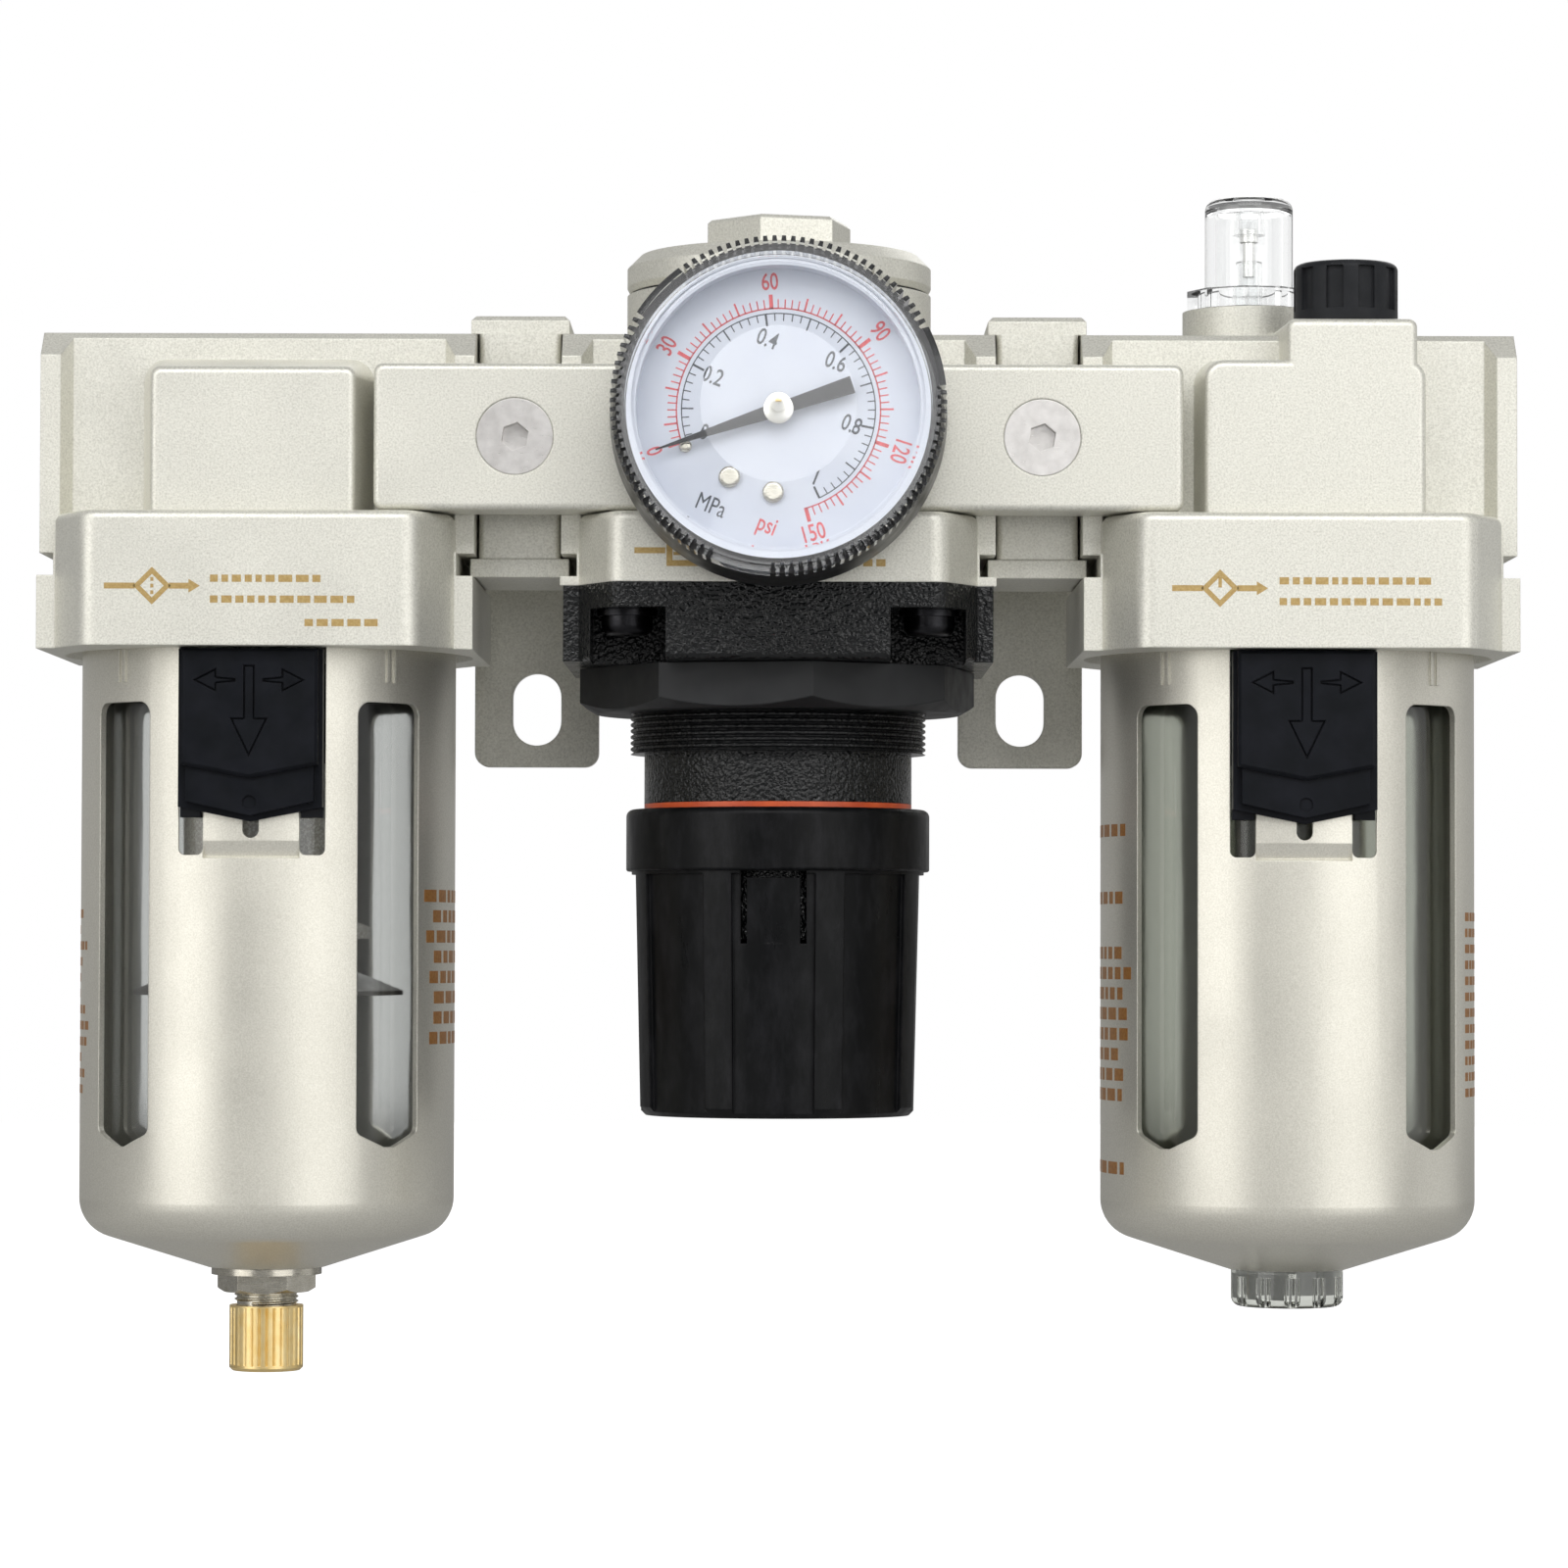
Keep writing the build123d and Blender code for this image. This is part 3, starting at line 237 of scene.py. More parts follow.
def clear(name, color, roughness, marks_mm, marks_height):
    """Clear moulded plastic with faint flow marks along its height."""
    plastic = Finish(name, color, roughness, Transmission_Weight=1.0, IOR=PLASTIC_IOR)
    flow = plastic.noise(marks_mm, detail=2, stretch=(1, 1, 0.12))
    return plastic.bump(flow, marks_height)


def dial_paint():
    """White enamel with a faint orange-peel."""
    white = Finish("dial_paint", (0.63, 0.66, 0.73), 0.42)
    white.colors(white.noise(7, detail=3), (0.3, (0.61, 0.64, 0.72)), (0.7, (0.65, 0.68, 0.75)))
    return white.bump(white.noise(1.2, detail=2), 0.004)


def pointer_paint():
    """Matt black paint on a stamped pointer."""
    black = Finish("pointer_paint", (0.018, 0.018, 0.020), 0.48)
    black.roughness(black.noise(1.2, detail=3), 0.40, 0.58)
    return black.bump(black.noise(0.2), 0.003)


def dial_ink(name, color):
    """Screen-printed ink, a little uneven."""
    ink = Finish(name, color, 0.6)
    thin = tuple(min(1.0, 1.35 * part + 0.03) for part in color)
    return ink.colors(ink.noise(0.6, detail=3), (0.35, color), (0.85, thin))


def turned_metal(name, dark, light, roughness, spread=0.08):
    """Bright machined metal with fine turning marks round the upright axis."""
    metal = Finish(name, light, roughness, metallic=1.0)
    marks = metal.noise(0.5, detail=4, rough=0.7, stretch=(0.25, 0.25, 3))
    metal.colors(metal.noise(2.0, detail=3), (0.3, dark), (0.7, light))
    metal.roughness(marks, roughness - spread, roughness + spread)
    return metal.rounded(0.12).bump(marks, 0.006)


def rubber():
    """Soft black nitrile."""
    black = Finish("rubber", (0.012, 0.012, 0.012), 0.62)
    black.roughness(black.noise(1.5, detail=3), 0.52, 0.74)
    return black.bump(black.noise(0.3, detail=2), 0.008)


def orange_plastic():
    """Bright orange-red locking band."""
    orange = Finish("orange_plastic", (0.62, 0.085, 0.018), 0.4)
    orange.colors(orange.noise(4, detail=3), (0.3, (0.52, 0.065, 0.014)),
                  (0.7, (0.70, 0.11, 0.025)))
    return orange.bump(orange.noise(0.4), 0.004)


def filter_media():
    """Off-white porous cylinder."""
    media = Finish("filter_media", (0.72, 0.70, 0.64), 0.9)
    pores = media.cells(0.45)
    media.colors(pores, (0.15, (0.78, 0.76, 0.70)), (0.6, (0.45, 0.43, 0.38)))
    return media.bump(pores, 0.12)


def inner_plastic():
    """Grey-brown moulded plastic of the parts inside the bowls."""
    plastic = Finish("inner_plastic", (0.10, 0.095, 0.085), 0.45)
    plastic.roughness(plastic.noise(4, detail=3), 0.36, 0.54)
    return plastic.bump(plastic.noise(0.5), 0.008)


def sintered_bronze():
    """Small bronze beads fused together."""
    bronze = Finish("sintered_bronze", (0.50, 0.32, 0.14), 0.5, metallic=0.9)
    beads = bronze.cells(0.35)
    bronze.colors(beads, (0.1, (0.62, 0.42, 0.20)), (0.55, (0.20, 0.12, 0.05)))
    return bronze.bump(beads, 0.12)


def gold_ink(name, dark, light):
    """Gold printing ink."""
    ink = Finish(name, dark, 0.42, metallic=0.35)
    return ink.colors(ink.noise(0.5, detail=3), (0.35, dark), (0.8, light))


SLOTS = {
    "cast_body": cast_paint(),
    "guard_metal": guard_paint(),
    "black_cast": wrinkle_paint(),
    "black_nut": black_nut_finish(),
    "knob_plastic": knob_plastic(),
    "button_plastic": button_plastic("button_plastic", (0.004, 0.005, 0.007),
                                     (0.008, 0.009, 0.013)),
    "gauge_case_plastic": gauge_case_plastic(),
    "clear_plastic": clear("bowl_plastic", (0.71, 0.72, 0.71), 0.06, 6.0, 0.05),
    "dial_white": dial_paint(),
    "pointer_black": pointer_paint(),
    "brass": turned_metal("brass", (0.93, 0.68, 0.28), (1.0, 0.80, 0.42), 0.36),
    "nickel": turned_metal("nickel", (0.55, 0.52, 0.44), (0.68, 0.65, 0.57), 0.26),
    "zinc_steel": turned_metal("zinc_steel", (0.66, 0.64, 0.62), (0.80, 0.78, 0.76), 0.34),
    "spring_steel": turned_metal("spring_steel", (0.42, 0.42, 0.43), (0.56, 0.56, 0.57), 0.30),
    "black_screw": turned_metal("black_screw", (0.016, 0.016, 0.018), (0.034, 0.034, 0.037), 0.34),
    "rubber": rubber(),
    "orange_plastic": orange_plastic(),
    "filter_media": filter_media(),
    "inner_plastic": inner_plastic(),
    "sintered_bronze": sintered_bronze(),
}
NODE_FINISHES = {
    "gauge_cover": clear("lens_plastic", (0.98, 0.99, 1.0), 0.04, 9.0, 0.01),
    "filler_plug": button_plastic("filler_plastic", (0.016, 0.017, 0.019), (0.026, 0.027, 0.030)),
    "sight_dome": clear("dome_plastic", (0.93, 0.935, 0.935), 0.03, 4.0, 0.01),
    "drip_tube": clear("nozzle_plastic", (0.95, 0.96, 0.96), 0.12, 3.0, 0.02),
    "drip_needle": turned_metal("needle_steel", (0.70, 0.70, 0.68), (0.84, 0.84, 0.82), 0.30),
    "lubricator_bowl": clear("oil_bowl_plastic", (0.57, 0.585, 0.54), 0.08, 6.0, 0.05),
}
LETS_LIGHT_THROUGH = ("gauge_cover", "sight_dome", "drip_tube", "filter_bowl", "lubricator_bowl")
RED_INK = dial_ink("red_ink", (0.60, 0.10, 0.11))
GREY_INK = dial_ink("grey_ink", (0.055, 0.062, 0.075))
GOLD_INK = gold_ink("gold_ink", (0.42, 0.28, 0.10), (0.56, 0.41, 0.17))
BROWN_INK = gold_ink("brown_ink", (0.28, 0.115, 0.025), (0.40, 0.20, 0.055))
BOSS_METAL = turned_metal("boss_metal", (0.86, 0.84, 0.76), (0.96, 0.94, 0.88), 0.36)


def finish_cad_nodes():
    """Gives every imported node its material, and lets lamps shine through the clear ones."""
    for part in record["subparts"]:
        name = part["node"]
        finish = NODE_FINISHES.get(name) or SLOTS[part["material_slot"]]
        node = frame["nodes"][name]
        node.data.materials.clear()
        node.data.materials.append(finish.material)
    for name in LETS_LIGHT_THROUGH:
        frame["nodes"][name].visible_shadow = False


# --- pieces -------------------------------------------------------------------------------
def add_piece(name, mesh, finish, body):
    """A new piece that rides on a body and wears the finish that it is given."""
    mesh.materials.clear()
    mesh.materials.append(finish.material)
    piece = bpy.data.objects.new(name, mesh)
    bpy.context.scene.collection.objects.link(piece)
    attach(piece, body)
    return piece


class Print:
    """Thin raised marks gathered into one mesh. place(u, v, w) gives the point that is u to the
    right, v up and w out of the surface, in metres. The calls below take u and v in mm."""

    def __init__(self, place):
        self.place = place
        self.mesh = bmesh.new()

    def patch(self, outline):
        """A flat mark with an anticlockwise outline of (u, v) points."""
        top = [self.mesh.verts.new(self.place(u * MM, v * MM, PRINT_LIFT)) for u, v in outline]
        back = [self.mesh.verts.new(self.place(u * MM, v * MM, -PRINT_SINK)) for u, v in outline]
        self.mesh.faces.new(top)
        self.mesh.faces.new(back[::-1])
        count = len(outline)
        for i in range(count):
            j = (i + 1) % count
            self.mesh.faces.new((top[i], back[i], back[j], top[j]))

    def band(self, outer, inner):
        """A closed border between two outlines with the same number of points."""
        count = len(outer)
        for i in range(count):
            j = (i + 1) % count
            self.patch([outer[i], outer[j], inner[j], inner[i]])

    def bar(self, u, v, width, height):
        """A rectangle centred on (u, v), in steps short enough to follow a round surface."""
        steps = math.ceil(width / BAR_STEP)
        for i in range(steps):
            left = u - width / 2 + width * i / steps
            self.patch([(left, v - height / 2), (left + width / steps, v - height / 2),
                        (left + width / steps, v + height / 2), (left, v + height / 2)])

    def words(self, text, u, v, height, turn=0.0, squeeze=0.74, weight=0.01):
        """Numerals or a unit, centred on (u, v), turned anticlockwise by turn degrees."""
        curve = bpy.data.curves.new("words", "FONT")
        curve.body = text
        curve.align_x, curve.align_y = "CENTER", "CENTER"
        curve.offset = weight
        curve.resolution_u = 3
        curve.extrude = 0.5
        maker = bpy.data.objects.new("words", curve)
        bpy.context.scene.collection.objects.link(maker)
        solid = bpy.data.meshes.new_from_object(
            maker.evaluated_get(bpy.context.evaluated_depsgraph_get()))
        bpy.data.objects.remove(maker)
        scale = height / FONT_HEIGHT
        cos, sin = math.cos(math.radians(turn)), math.sin(math.radians(turn))
        depth = PRINT_LIFT + PRINT_SINK
        for vertex in solid.vertices:
            x, y = vertex.co.x * scale * squeeze, vertex.co.y * scale
            w = (vertex.co.z + 0.5) * depth - PRINT_SINK
            vertex.co = self.place((u + x * cos - y * sin) * MM, (v + x * sin + y * cos) * MM, w)
        self.mesh.from_mesh(solid)
        bpy.data.meshes.remove(solid)

    def finish(self, name, finish, body, slot):
        bmesh.ops.recalc_face_normals(self.mesh, faces=self.mesh.faces)
        mesh = bpy.data.meshes.new(name)
        self.mesh.to_mesh(mesh)
        self.mesh.free()
        return add_piece(name, mesh, finish, body)


def flat_front(centre):
    """Placing function for a flat face that looks towards -Y, centred on a point."""
    return lambda u, v, w: Vector((centre.x + u, centre.y - w, centre.z + v))


def round_guard(axis_x, axis_y, radius, facing, height):
    """Placing function for an upright cylinder. facing is the angle of u = 0, anticlockwise
    from +X seen from above, and height is where v = 0."""
    def place(u, v, w):
        angle = facing + u / radius
        return Vector((axis_x + (radius + w) * math.cos(angle),
                       axis_y + (radius + w) * math.sin(angle), height + v))
    return place


# --- gauge dial ---------------------------------------------------------------------------
DIAL_THICKNESS = 0.8            # mm, from the dial's back to its printed face
DIAL_TILT = -21.5               # degrees; the gauge is screwed in a little past upright
ZERO_ANGLE = 206.3              # degrees, where the even part of the scales would start
STOP_ANGLE = 198.5              # degrees, where the pointer rests and the 0 marks stand
DEGREES_PER_PSI = 1.871
DEGREES_PER_MPA = 271.3
RED_FOOT = 15.95                # mm, radius where the red marks start
DARK_EDGE = 15.3                # mm, radius where the dark marks end
NUMERAL_HEIGHT = 2.6            # mm
UNIT_HEIGHT = 2.7


def ray(radius, degrees):
    return radius * math.cos(math.radians(degrees)), radius * math.sin(math.radians(degrees))


def psi_angle(value):
    return ZERO_ANGLE - DEGREES_PER_PSI * value


def mpa_angle(value):
    return ZERO_ANGLE - DEGREES_PER_MPA * value


def tick(marks, angle, inner, outer, width):
    """A radial line on the dial."""
    cos, sin = ray(1, angle)
    half = width / 2
    marks.patch([(inner * cos + half * sin, inner * sin - half * cos),
                 (outer * cos + half * sin, outer * sin - half * cos),
                 (outer * cos - half * sin, outer * sin + half * cos),
                 (inner * cos - half * sin, inner * sin + half * cos)])


def arc(marks, radius, width, start, end, step=2.0):
    """A circular line on the dial from one angle to another."""
    count = max(2, round(abs(end - start) / step))
    angles = [start + (end - start) * i / count for i in range(count + 1)]
    for a, b in zip(angles, angles[1:]):
        low, high = sorted((a, b))
        marks.patch([ray(radius - width / 2, low), ray(radius + width / 2, low),
                     ray(radius + width / 2, high), ray(radius - width / 2, high)])


def psi_scale(marks):
    """Outer red scale."""
    arc(marks, RED_FOOT + 0.1, 0.22, psi_angle(150), STOP_ANGLE)
    for value in range(6, 151, 2):
        if value % 30 == 0:
            end, width = 18.2, 0.6
        elif value % 10 == 0:
            end, width = 18.1, 0.3
        else:
            end, width = 17.45, 0.2
        tick(marks, psi_angle(value), RED_FOOT, end, width)
    tick(marks, STOP_ANGLE, RED_FOOT, 18.2, 0.6)
    marks.words("0", *ray(20.3, STOP_ANGLE), 2.5, STOP_ANGLE - 90)
    for value in range(30, 151, 30):
        angle = psi_angle(value)
        turn = angle + 90 if value == 150 else angle - 90
        marks.words(str(value), *ray(20.1, angle), NUMERAL_HEIGHT, turn)
    marks.words("psi", *ray(18.2, 264.5), UNIT_HEIGHT, DIAL_TILT, weight=0.008)


def mpa_scale(marks):
    """Inner dark scale."""
    arc(marks, DARK_EDGE - 0.05, 0.18, mpa_angle(1.0), STOP_ANGLE)
    for step in range(2, 51):
        if step % 10 == 0:
            start, width = 13.3, 0.35
        elif step % 5 == 0:
            start, width = 13.4, 0.24
        else:
            start, width = 14.1, 0.18
        tick(marks, mpa_angle(step * 0.02), start, DARK_EDGE, width)
    tick(marks, STOP_ANGLE, 13.3, DARK_EDGE, 0.35)
    for text, radius, angle in (("0", 12.2, 197), ("0.2", 11.5, 153), ("0.4", 11.15, 99),
                                ("0.6", 11.6, 40), ("0.8", 11.66, -11.6), ("1", 12.2, -61)):
        marks.words(text, *ray(radius, angle), NUMERAL_HEIGHT, DIAL_TILT)
    marks.words("MPa", *ray(18.4, 235), UNIT_HEIGHT, DIAL_TILT, weight=0.0)


def dress_gauge():
    """Scales on the dial, and the turned boss and rivet on the pointer."""
    low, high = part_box("gauge_dial")
    face = flat_front(Vector(((low.x + high.x) / 2, high.y - DIAL_THICKNESS * MM,
                              (low.z + high.z) / 2)))
    red, dark = Print(face), Print(face)
    psi_scale(red)
    mpa_scale(dark)
    red.finish("dial_scale_red", RED_INK, "root", "dial_white")
    dark.finish("dial_scale_dark", GREY_INK, "root", "dial_white")
    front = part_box("gauge_pointer")[0].y
    centre = Vector(((low.x + high.x) / 2, front, (low.z + high.z) / 2))
    forwards = Vector((0, -1, 0))
    boss = lathe([(0, -0.3), (2.33, -0.3), (2.33, 0.15), (2.05, 0.32), (0, 0.36)], centre, forwards)
    add_piece("pointer_boss", boss, BOSS_METAL, "gauge_pointer")
    rivet = lathe([(0, 0.3), (0.5, 0.3), (0.5, 0.55), (0.32, 0.68), (0, 0.7)], centre, forwards, 24)
    add_piece("pointer_rivet", rivet, SLOTS["brass"], "gauge_pointer")


def lathe(profile, centre, axis, steps=48):
    """Mesh turned about axis through centre, from (radius, distance along the axis) in mm."""
    side = axis.orthogonal().normalized()
    other = axis.cross(side)
    shape = bmesh.new()
    rings = []
    for radius, along in profile:
        base = centre + axis * along * MM
        if radius == 0:
            rings.append([shape.verts.new(base)])
            continue
        spokes = [side * math.cos(a) + other * math.sin(a)
                  for a in (2 * math.pi * i / steps for i in range(steps))]
        rings.append([shape.verts.new(base + spoke * radius * MM) for spoke in spokes])
    for lower, upper in zip(rings, rings[1:]):
        for i in range(steps):
            j = (i + 1) % steps
            corners = [lower[i % len(lower)], lower[j % len(lower)],
                       upper[j % len(upper)], upper[i % len(upper)]]
            shape.faces.new(list(dict.fromkeys(corners)))
    bmesh.ops.recalc_face_normals(shape, faces=shape.faces)
    mesh = bpy.data.meshes.new("lathe")
    shape.to_mesh(mesh)
    shape.free()
    smooth(mesh)
    return mesh


def smooth(mesh, angle=35):
    mesh.shade_smooth()
    mesh.set_sharp_from_angle(angle=math.radians(angle))


# --- printed symbols and rows of dashes, in mm --------------------------------------------
LINE = 0.95                     # width of the symbols' lines
SLANTED_LINE = 1.13             # width across the corners of a diamond
SYMBOL_HALF = 3.0
ARROW_LENGTH, ARROW_HALF = 1.8, 1.1
COLLAR_DASH, LARGE_DASH, SMALL_DASH = 1.15, 2.0, 1.4            # heights
LARGE_ROWS = {"filter": [73 + 3.3 * i for i in range(8)],       # below the ports
              "lubricator": [62, 73, 117] + [82 + 3.3 * i for i in range(8)]}
SMALL_ROWS = [76 + 2.6 * i for i in range(12)]
SMALL_ROW_START = -13.5


def diamond(half, centre_u, centre_v):
    return [(centre_u, centre_v - half), (centre_u + half, centre_v),
            (centre_u, centre_v + half), (centre_u - half, centre_v)]


def square(half, centre_u, centre_v):
    return [(centre_u - half, centre_v - half), (centre_u + half, centre_v - half),
            (centre_u + half, centre_v + half), (centre_u - half, centre_v + half)]


def flow_lines(marks, u, v, reach=7.6):
    """Pipe line into the symbol from the left, and out of it with an arrow to the right."""
    start, neck = SYMBOL_HALF - 0.3, reach - ARROW_LENGTH
    marks.bar(u - (reach + start) / 2, v, reach - start, LINE)
    marks.bar(u + (neck + start) / 2, v, neck - start, LINE)
    marks.patch([(u + neck, v - ARROW_HALF), (u + reach, v), (u + neck, v + ARROW_HALF)])


def filter_symbol(marks, u, v):
    """Diamond with a dashed screen across it."""
    flow_lines(marks, u, v)
    marks.band(diamond(SYMBOL_HALF, u, v), diamond(SYMBOL_HALF - SLANTED_LINE, u, v))
    for step in (-1, 0, 1):
        marks.bar(u, v + 1.05 * step, 0.5, 0.6)


def regulator_symbol(marks, u, v):
    """Square with the flow arrow inside it and a spring above."""
    half = SYMBOL_HALF - 0.5
    flow_lines(marks, u, v)
    marks.band(square(half, u, v), square(half - LINE, u, v))
    marks.bar(u - 0.3, v - 0.5, 2.2, 0.5)
    marks.patch([(u + 0.7, v - 1.1), (u + 1.6, v - 0.5), (u + 0.7, v + 0.1)])


def lubricator_symbol(marks, u, v):
    """Diamond with a short stroke down from its top corner."""
    flow_lines(marks, u, v)
    marks.band(diamond(SYMBOL_HALF, u, v), diamond(SYMBOL_HALF - SLANTED_LINE, u, v))
    marks.bar(u, v + 0.95, 0.55, 1.7)


def dashed_row(marks, start_u, v, length, height, rng):
    """A row of short dashes of uneven length, in proportion to their height."""
    u, end = start_u, start_u + length
    while u < end - 0.6 * height:
        width = min(rng.uniform(0.8, 2.0) * height, end - u)
        marks.bar(u + width / 2, v, width, height)
        u += width + 0.5 * height


def print_collars():
    """Gold symbol and dashed rows on the front of each module's collar."""
    rng = random.Random(4)
    rows = {"filter_body": [(-6.0, 17.5, 23.0), (-6.0, 23.0, 26.3), (9.0, 12.0, 30.0)],
            "regulator_body": [(-6.0, 17.5, 17.0), (-6.0, 23.0, 20.3)],
            "lubricator_body": [(-4.6, 24.0, 23.0), (-4.6, 26.0, 26.3)]}
    symbols = {"filter_body": (filter_symbol, -15.2, 24.2),
               "regulator_body": (regulator_symbol, -15.2, 18.4),
               "lubricator_body": (lubricator_symbol, -14.0, 24.2)}
    for node, (symbol, u, drop) in symbols.items():
        low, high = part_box(node)
        port_height = mounts["inlet_port"]["pos_m"][2]
        marks = Print(flat_front(Vector(((low.x + high.x) / 2, low.y, port_height))))
        symbol(marks, u, -drop)
        for start, length, row_drop in rows[node]:
            dashed_row(marks, start, -row_drop, length, COLLAR_DASH, rng)
        marks.finish(node.replace("body", "symbol"), GOLD_INK, "root", "cast_body")


def print_guards():
    """Rows of brown dashes on each guard: large towards the regulator, small on the far side."""
    rng = random.Random(9)
    port_height = mounts["inlet_port"]["pos_m"][2]
    for side, inner in (("filter", "right"), ("lubricator", "left")):
        low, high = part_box(f"{side}_guard")
        radius = (high.x - low.x) / 2
        for label, facing in (("left", math.pi), ("right", 0.0)):
            marks = Print(round_guard(low.x + radius, high.y - radius, radius, facing, port_height))
            if label == inner:
                for drop in LARGE_ROWS[side]:
                    reach = rng.uniform(12.5, 16)
                    dashed_row(marks, -reach, -drop, 2 * reach, LARGE_DASH, rng)
            else:
                for drop in SMALL_ROWS:
                    length = rng.uniform(20, 27)
                    dashed_row(marks, SMALL_ROW_START, -drop, length, SMALL_DASH, rng)
            marks.finish(f"{side}_guard_print_{label}", BROWN_INK, f"{side}_guard", "guard_metal")


# --- threads ------------------------------------------------------------------------------
ROOT_HALF, CREST_HALF = 0.46, 0.08      # half widths of a thread's ridge, in pitches
PIPE_PITCH = 1.814                      # mm, like all below
PIPE_CREST = 0.9                        # how far the ridge stands in from the port's radius
PIPE_ROOT = 0.05                        # and how far its root is sunk in the wall
PIPE_INSET = 0.6                        # from the port's face to the start of the thread
PIPE_RUNOUT = 3.0                       # what the thread leaves free of the port's length
DRAIN_PITCH = 0.75
DRAIN_ROOT, DRAIN_CREST = 4.8, 5.25     # radii


def thread(name, start, axis, wall, crest, pitch, turns, finish, body, steps=48):
    """A helical ridge from the wall radius to the crest radius, in mm, along axis."""
    side = axis.orthogonal().normalized()
    other = axis.cross(side)
    profile = [(wall, -ROOT_HALF * pitch), (crest, -CREST_HALF * pitch),
               (crest, CREST_HALF * pitch), (wall, ROOT_HALF * pitch)]
    shape = bmesh.new()
    sections = []
    total = round(turns * steps)
    for i in range(total + 1):
        angle = 2 * math.pi * i / steps
        out = side * math.cos(angle) + other * math.sin(angle)
        along = pitch * (0.5 + i / steps)
        sections.append([shape.verts.new(start + (axis * (along + shift) + out * radius) * MM)
                         for radius, shift in profile])
    for a, b in zip(sections, sections[1:]):
        for i in range(4):
            j = (i + 1) % 4
            shape.faces.new((a[i], a[j], b[j], b[i]))
    shape.faces.new(sections[0])
    shape.faces.new(sections[-1][::-1])
    bmesh.ops.recalc_face_normals(shape, faces=shape.faces)
    mesh = bpy.data.meshes.new(name)
    shape.to_mesh(mesh)
    shape.free()
    smooth(mesh)
    return add_piece(name, mesh, finish, body)


def cut_threads():
    """Pipe threads in both end ports, and the thread that shows above the drain knob."""
    for name in ("inlet_port", "outlet_port"):
        mount = mounts[name]
        radius, length = mount["dims"]["r_mm"], mount["dims"]["length_mm"]
        inwards = -Vector(mount["axis"])
        start = Vector(mount["pos_m"]) + inwards * PIPE_INSET * MM
        thread(name.replace("port", "thread"), start, inwards, radius + PIPE_ROOT,
               radius - PIPE_CREST, PIPE_PITCH, (length - PIPE_RUNOUT) / PIPE_PITCH,
               SLOTS["cast_body"], "root")
    nut_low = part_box("drain_nut")[0]
    knob_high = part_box("drain_knob")[1]
    guide_low, guide_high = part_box("drain_guide")
    centre = Vector(((guide_low.x + guide_high.x) / 2, (guide_low.y + guide_high.y) / 2, nut_low.z))
    gap = (nut_low.z - knob_high.z) / MM
    thread("drain_thread", centre, Vector((0, 0, -1)), DRAIN_ROOT, DRAIN_CREST, DRAIN_PITCH,
           gap / DRAIN_PITCH - 1.0, SLOTS["nickel"], "filter_bowl")


def flex(node):
    """A copy of a CAD piece in world space, shown in place of the rigid one, which is hidden."""
    piece = bpy.data.objects.new(node + "_flex", frame["nodes"][node].data.copy())
    bpy.context.scene.collection.objects.link(piece)
    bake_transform(piece)
    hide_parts(node)


def fit_springs():
    """Copies of the lock springs, the adjusting and valve springs and the diaphragm stand in place
    of their rigid CAD pieces."""
    for side in ("filter", "lubricator"):
        flex(f"{side}_lock_spring")
    for node, moving in (("adjusting_spring", "spring_seat"), ("valve_spring", "valve")):
        flex(node)
    flex("diaphragm")


# --- stage, in metres and degrees ---------------------------------------------------------
FLOOR_DROP = 0.16               # below the unit
CAMERA_PLACE = (0.001, -0.930, -0.041)
CAMERA_TILT, CAMERA_ROLL = 91.74, 0.14


def soft_light(name, location, target, width, height, power, color=(1, 1, 1)):
    """A softbox facing a point."""
    lamp = bpy.data.lights.new(name, "AREA")
    lamp.shape = "RECTANGLE"
    lamp.size, lamp.size_y = width, height
    lamp.energy = power
    lamp.color = color
    light = bpy.data.objects.new(name, lamp)
    light.location = location
    light.rotation_euler = (Vector(target) - Vector(location)).to_track_quat("-Z", "Y").to_euler()
    bpy.context.scene.collection.objects.link(light)


def light_stage():
    """Tall softboxes left and right of the camera, one above it, and weak ones at the right
    and behind. The small one makes the reflection on the gauge's window."""
    target = (0, -0.05, 0)
    soft_light("key", (-1.1, -1.05, 0.15), target, 1.0, 1.5, 8.2, (1.0, 0.99, 0.975))
    soft_light("fill", (0.95, -1.3, 0.05), target, 1.25, 1.5, 9.2, (1.0, 0.995, 0.985))
    soft_light("side", (1.45, 0.15, 0.0), target, 1.0, 1.3, 1.8)
    soft_light("front", (0, -1.35, 1.0), target, 1.7, 0.8, 15.5)
    soft_light("rear", (0.3, 1.3, 0.9), target, 1.2, 0.8, 5)
    soft_light("glint", (0.035, -1.0, 0.1), target, 0.2, 0.2, 0.22)


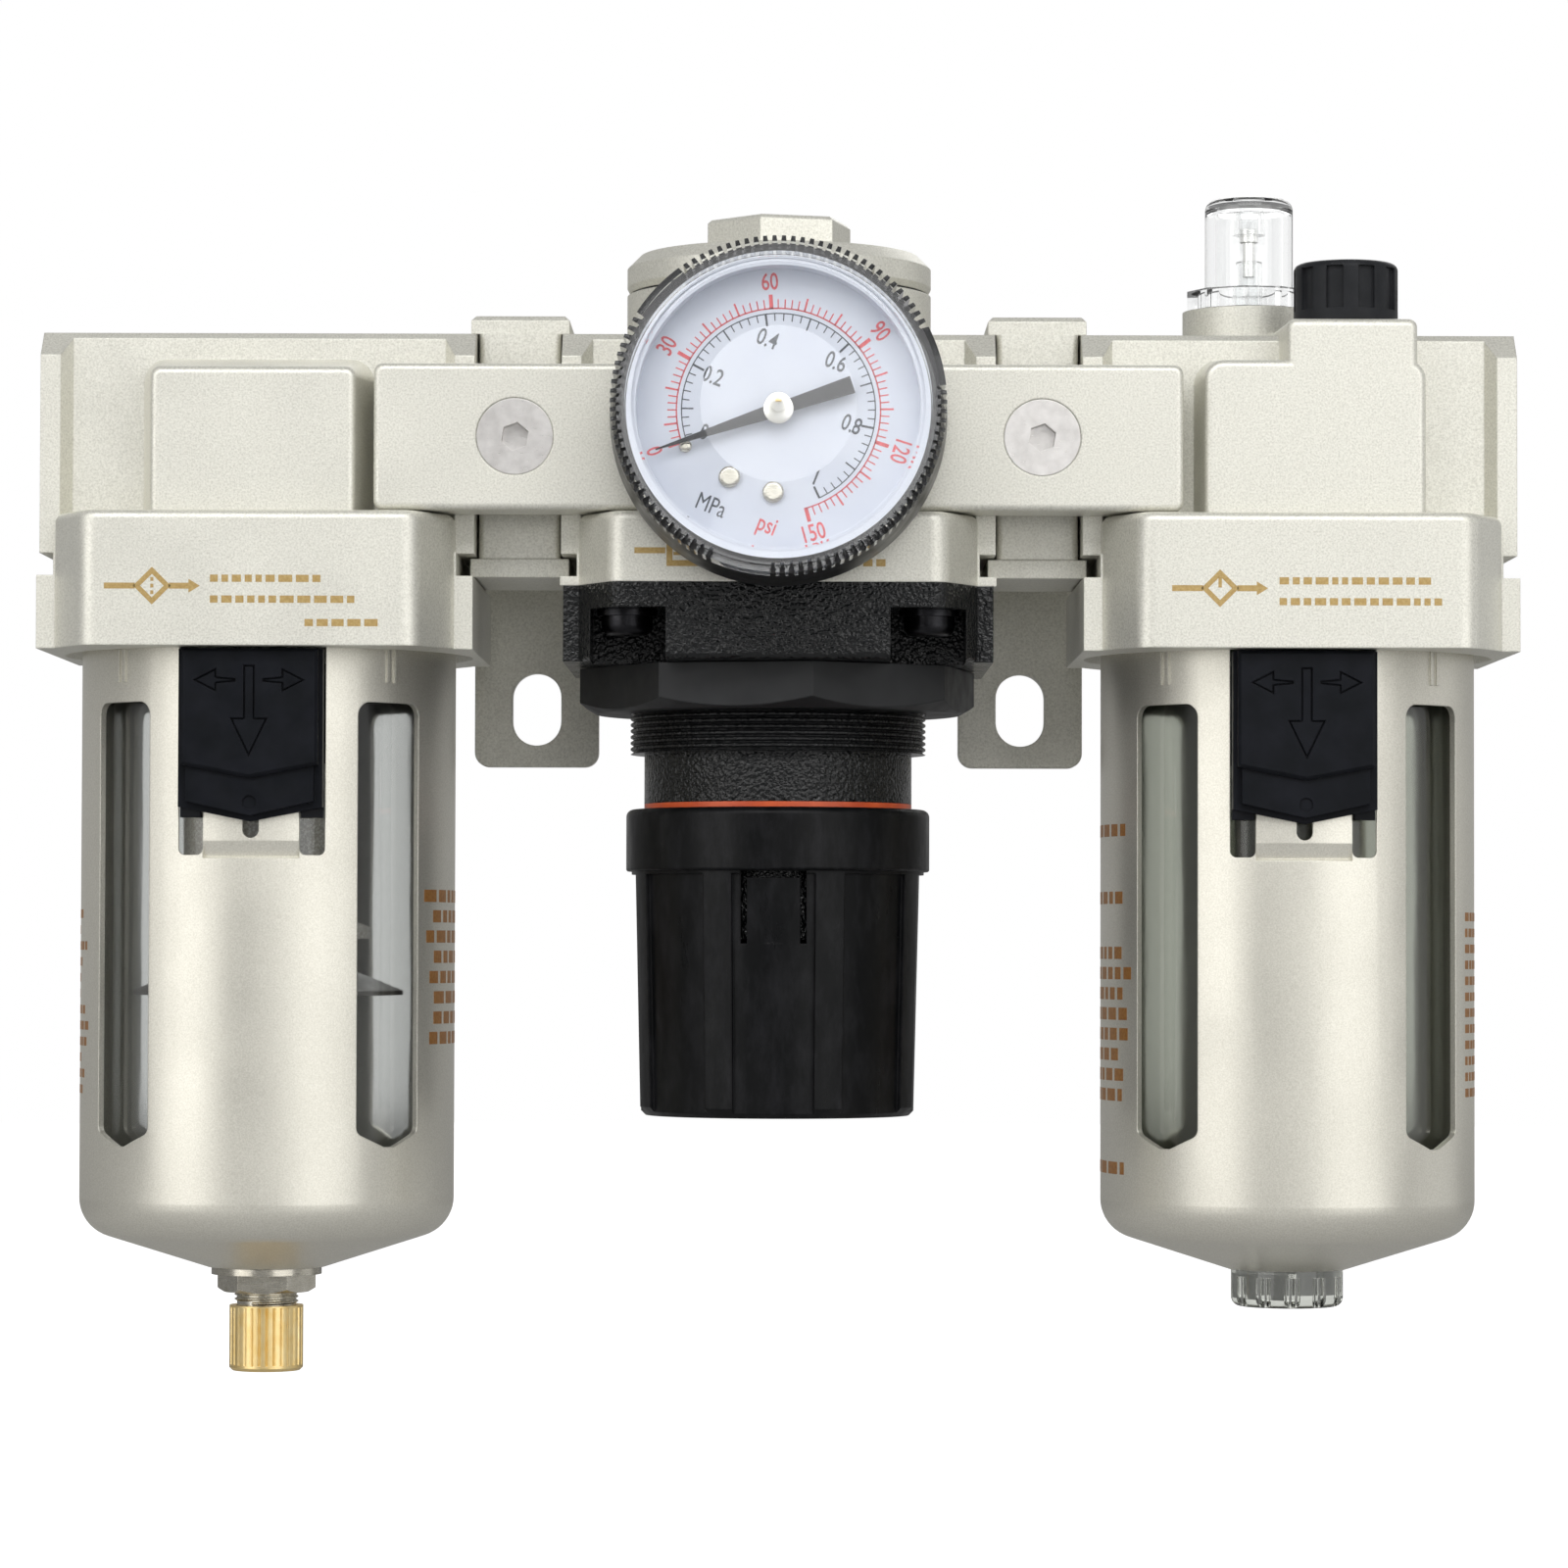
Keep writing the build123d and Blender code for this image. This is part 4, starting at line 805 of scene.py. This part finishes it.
def world_light():
    """White to the camera and through clear plastic; to all else a grey room, dim in front."""
    world = bpy.data.worlds.new("studio")
    bpy.context.scene.world = world
    world.use_nodes = True
    tree = world.node_tree
    tree.nodes.clear()
    output = tree.nodes.new("ShaderNodeOutputWorld")
    mix = tree.nodes.new("ShaderNodeMixShader")
    path = tree.nodes.new("ShaderNodeLightPath")
    backdrop = tree.nodes.new("ShaderNodeBackground")
    room = tree.nodes.new("ShaderNodeBackground")
    direction = tree.nodes.new("ShaderNodeTexCoord")
    split = tree.nodes.new("ShaderNodeSeparateXYZ")
    ramp = tree.nodes.new("ShaderNodeValToRGB")
    spread = tree.nodes.new("ShaderNodeMapRange")
    spread.inputs["From Min"].default_value = -1
    ramp.color_ramp.elements.new(0.5)
    for element, grey in zip(ramp.color_ramp.elements, (0.20, 0.33, 0.40)):
        element.color = (grey, grey, grey, 1)
    undiffused, seen_through, seen = (tree.nodes.new("ShaderNodeMath") for _ in range(3))
    undiffused.operation = "LESS_THAN"
    undiffused.inputs[1].default_value = 0.5
    seen_through.operation = "MULTIPLY"
    seen.operation = "MAXIMUM"
    backdrop.inputs["Color"].default_value = (1, 1, 1, 1)
    tree.links.new(direction.outputs["Generated"], split.inputs["Vector"])
    tree.links.new(split.outputs["Y"], spread.inputs["Value"])
    tree.links.new(spread.outputs["Result"], ramp.inputs["Fac"])
    tree.links.new(ramp.outputs["Color"], room.inputs["Color"])
    tree.links.new(path.outputs["Diffuse Depth"], undiffused.inputs[0])
    tree.links.new(undiffused.outputs["Value"], seen_through.inputs[0])
    tree.links.new(path.outputs["Is Transmission Ray"], seen_through.inputs[1])
    tree.links.new(path.outputs["Is Camera Ray"], seen.inputs[0])
    tree.links.new(seen_through.outputs["Value"], seen.inputs[1])
    tree.links.new(seen.outputs["Value"], mix.inputs["Fac"])
    tree.links.new(room.outputs["Background"], mix.inputs[1])
    tree.links.new(backdrop.outputs["Background"], mix.inputs[2])
    tree.links.new(mix.outputs["Shader"], output.inputs["Surface"])


def lay_floor():
    """Plain white floor well below the unit, which hangs on its wall brackets."""
    shape = bmesh.new()
    bmesh.ops.create_circle(shape, cap_ends=True, radius=6.0, segments=96)
    mesh = bpy.data.meshes.new("floor")
    shape.to_mesh(mesh)
    shape.free()
    floor = bpy.data.objects.new("floor", mesh)
    floor.location = (0, 0, cad_bounds[0].z - FLOOR_DROP)
    bpy.context.scene.collection.objects.link(floor)
    white = Finish("floor_white", (0.45, 0.45, 0.45), 0.8, Emission_Color=(1, 1, 1, 1))
    path = white.node("ShaderNodeLightPath")
    white.link(path.outputs["Is Camera Ray"], white.shader.inputs["Emission Strength"])
    mesh.materials.append(white.material)


def place_camera():
    """Straight in front, a little below the ports, looking very slightly up."""
    camera = bpy.data.objects.new("camera", bpy.data.cameras.new("camera"))
    camera.data.lens = 122.4
    camera.data.sensor_width = 36
    camera.matrix_world = (Matrix.Translation(CAMERA_PLACE)
                           @ Matrix.Rotation(math.radians(CAMERA_TILT), 4, "X")
                           @ Matrix.Rotation(math.radians(CAMERA_ROLL), 4, "Z"))
    bpy.context.scene.collection.objects.link(camera)
    bpy.context.scene.camera = camera


# --- the scene ----------------------------------------------------------------------------
finish_cad_nodes()
dress_gauge()
print_collars()
print_guards()
cut_threads()
fit_springs()
place_camera()
light_stage()
world_light()
lay_floor()
bpy.context.scene.view_settings.view_transform = "Standard"
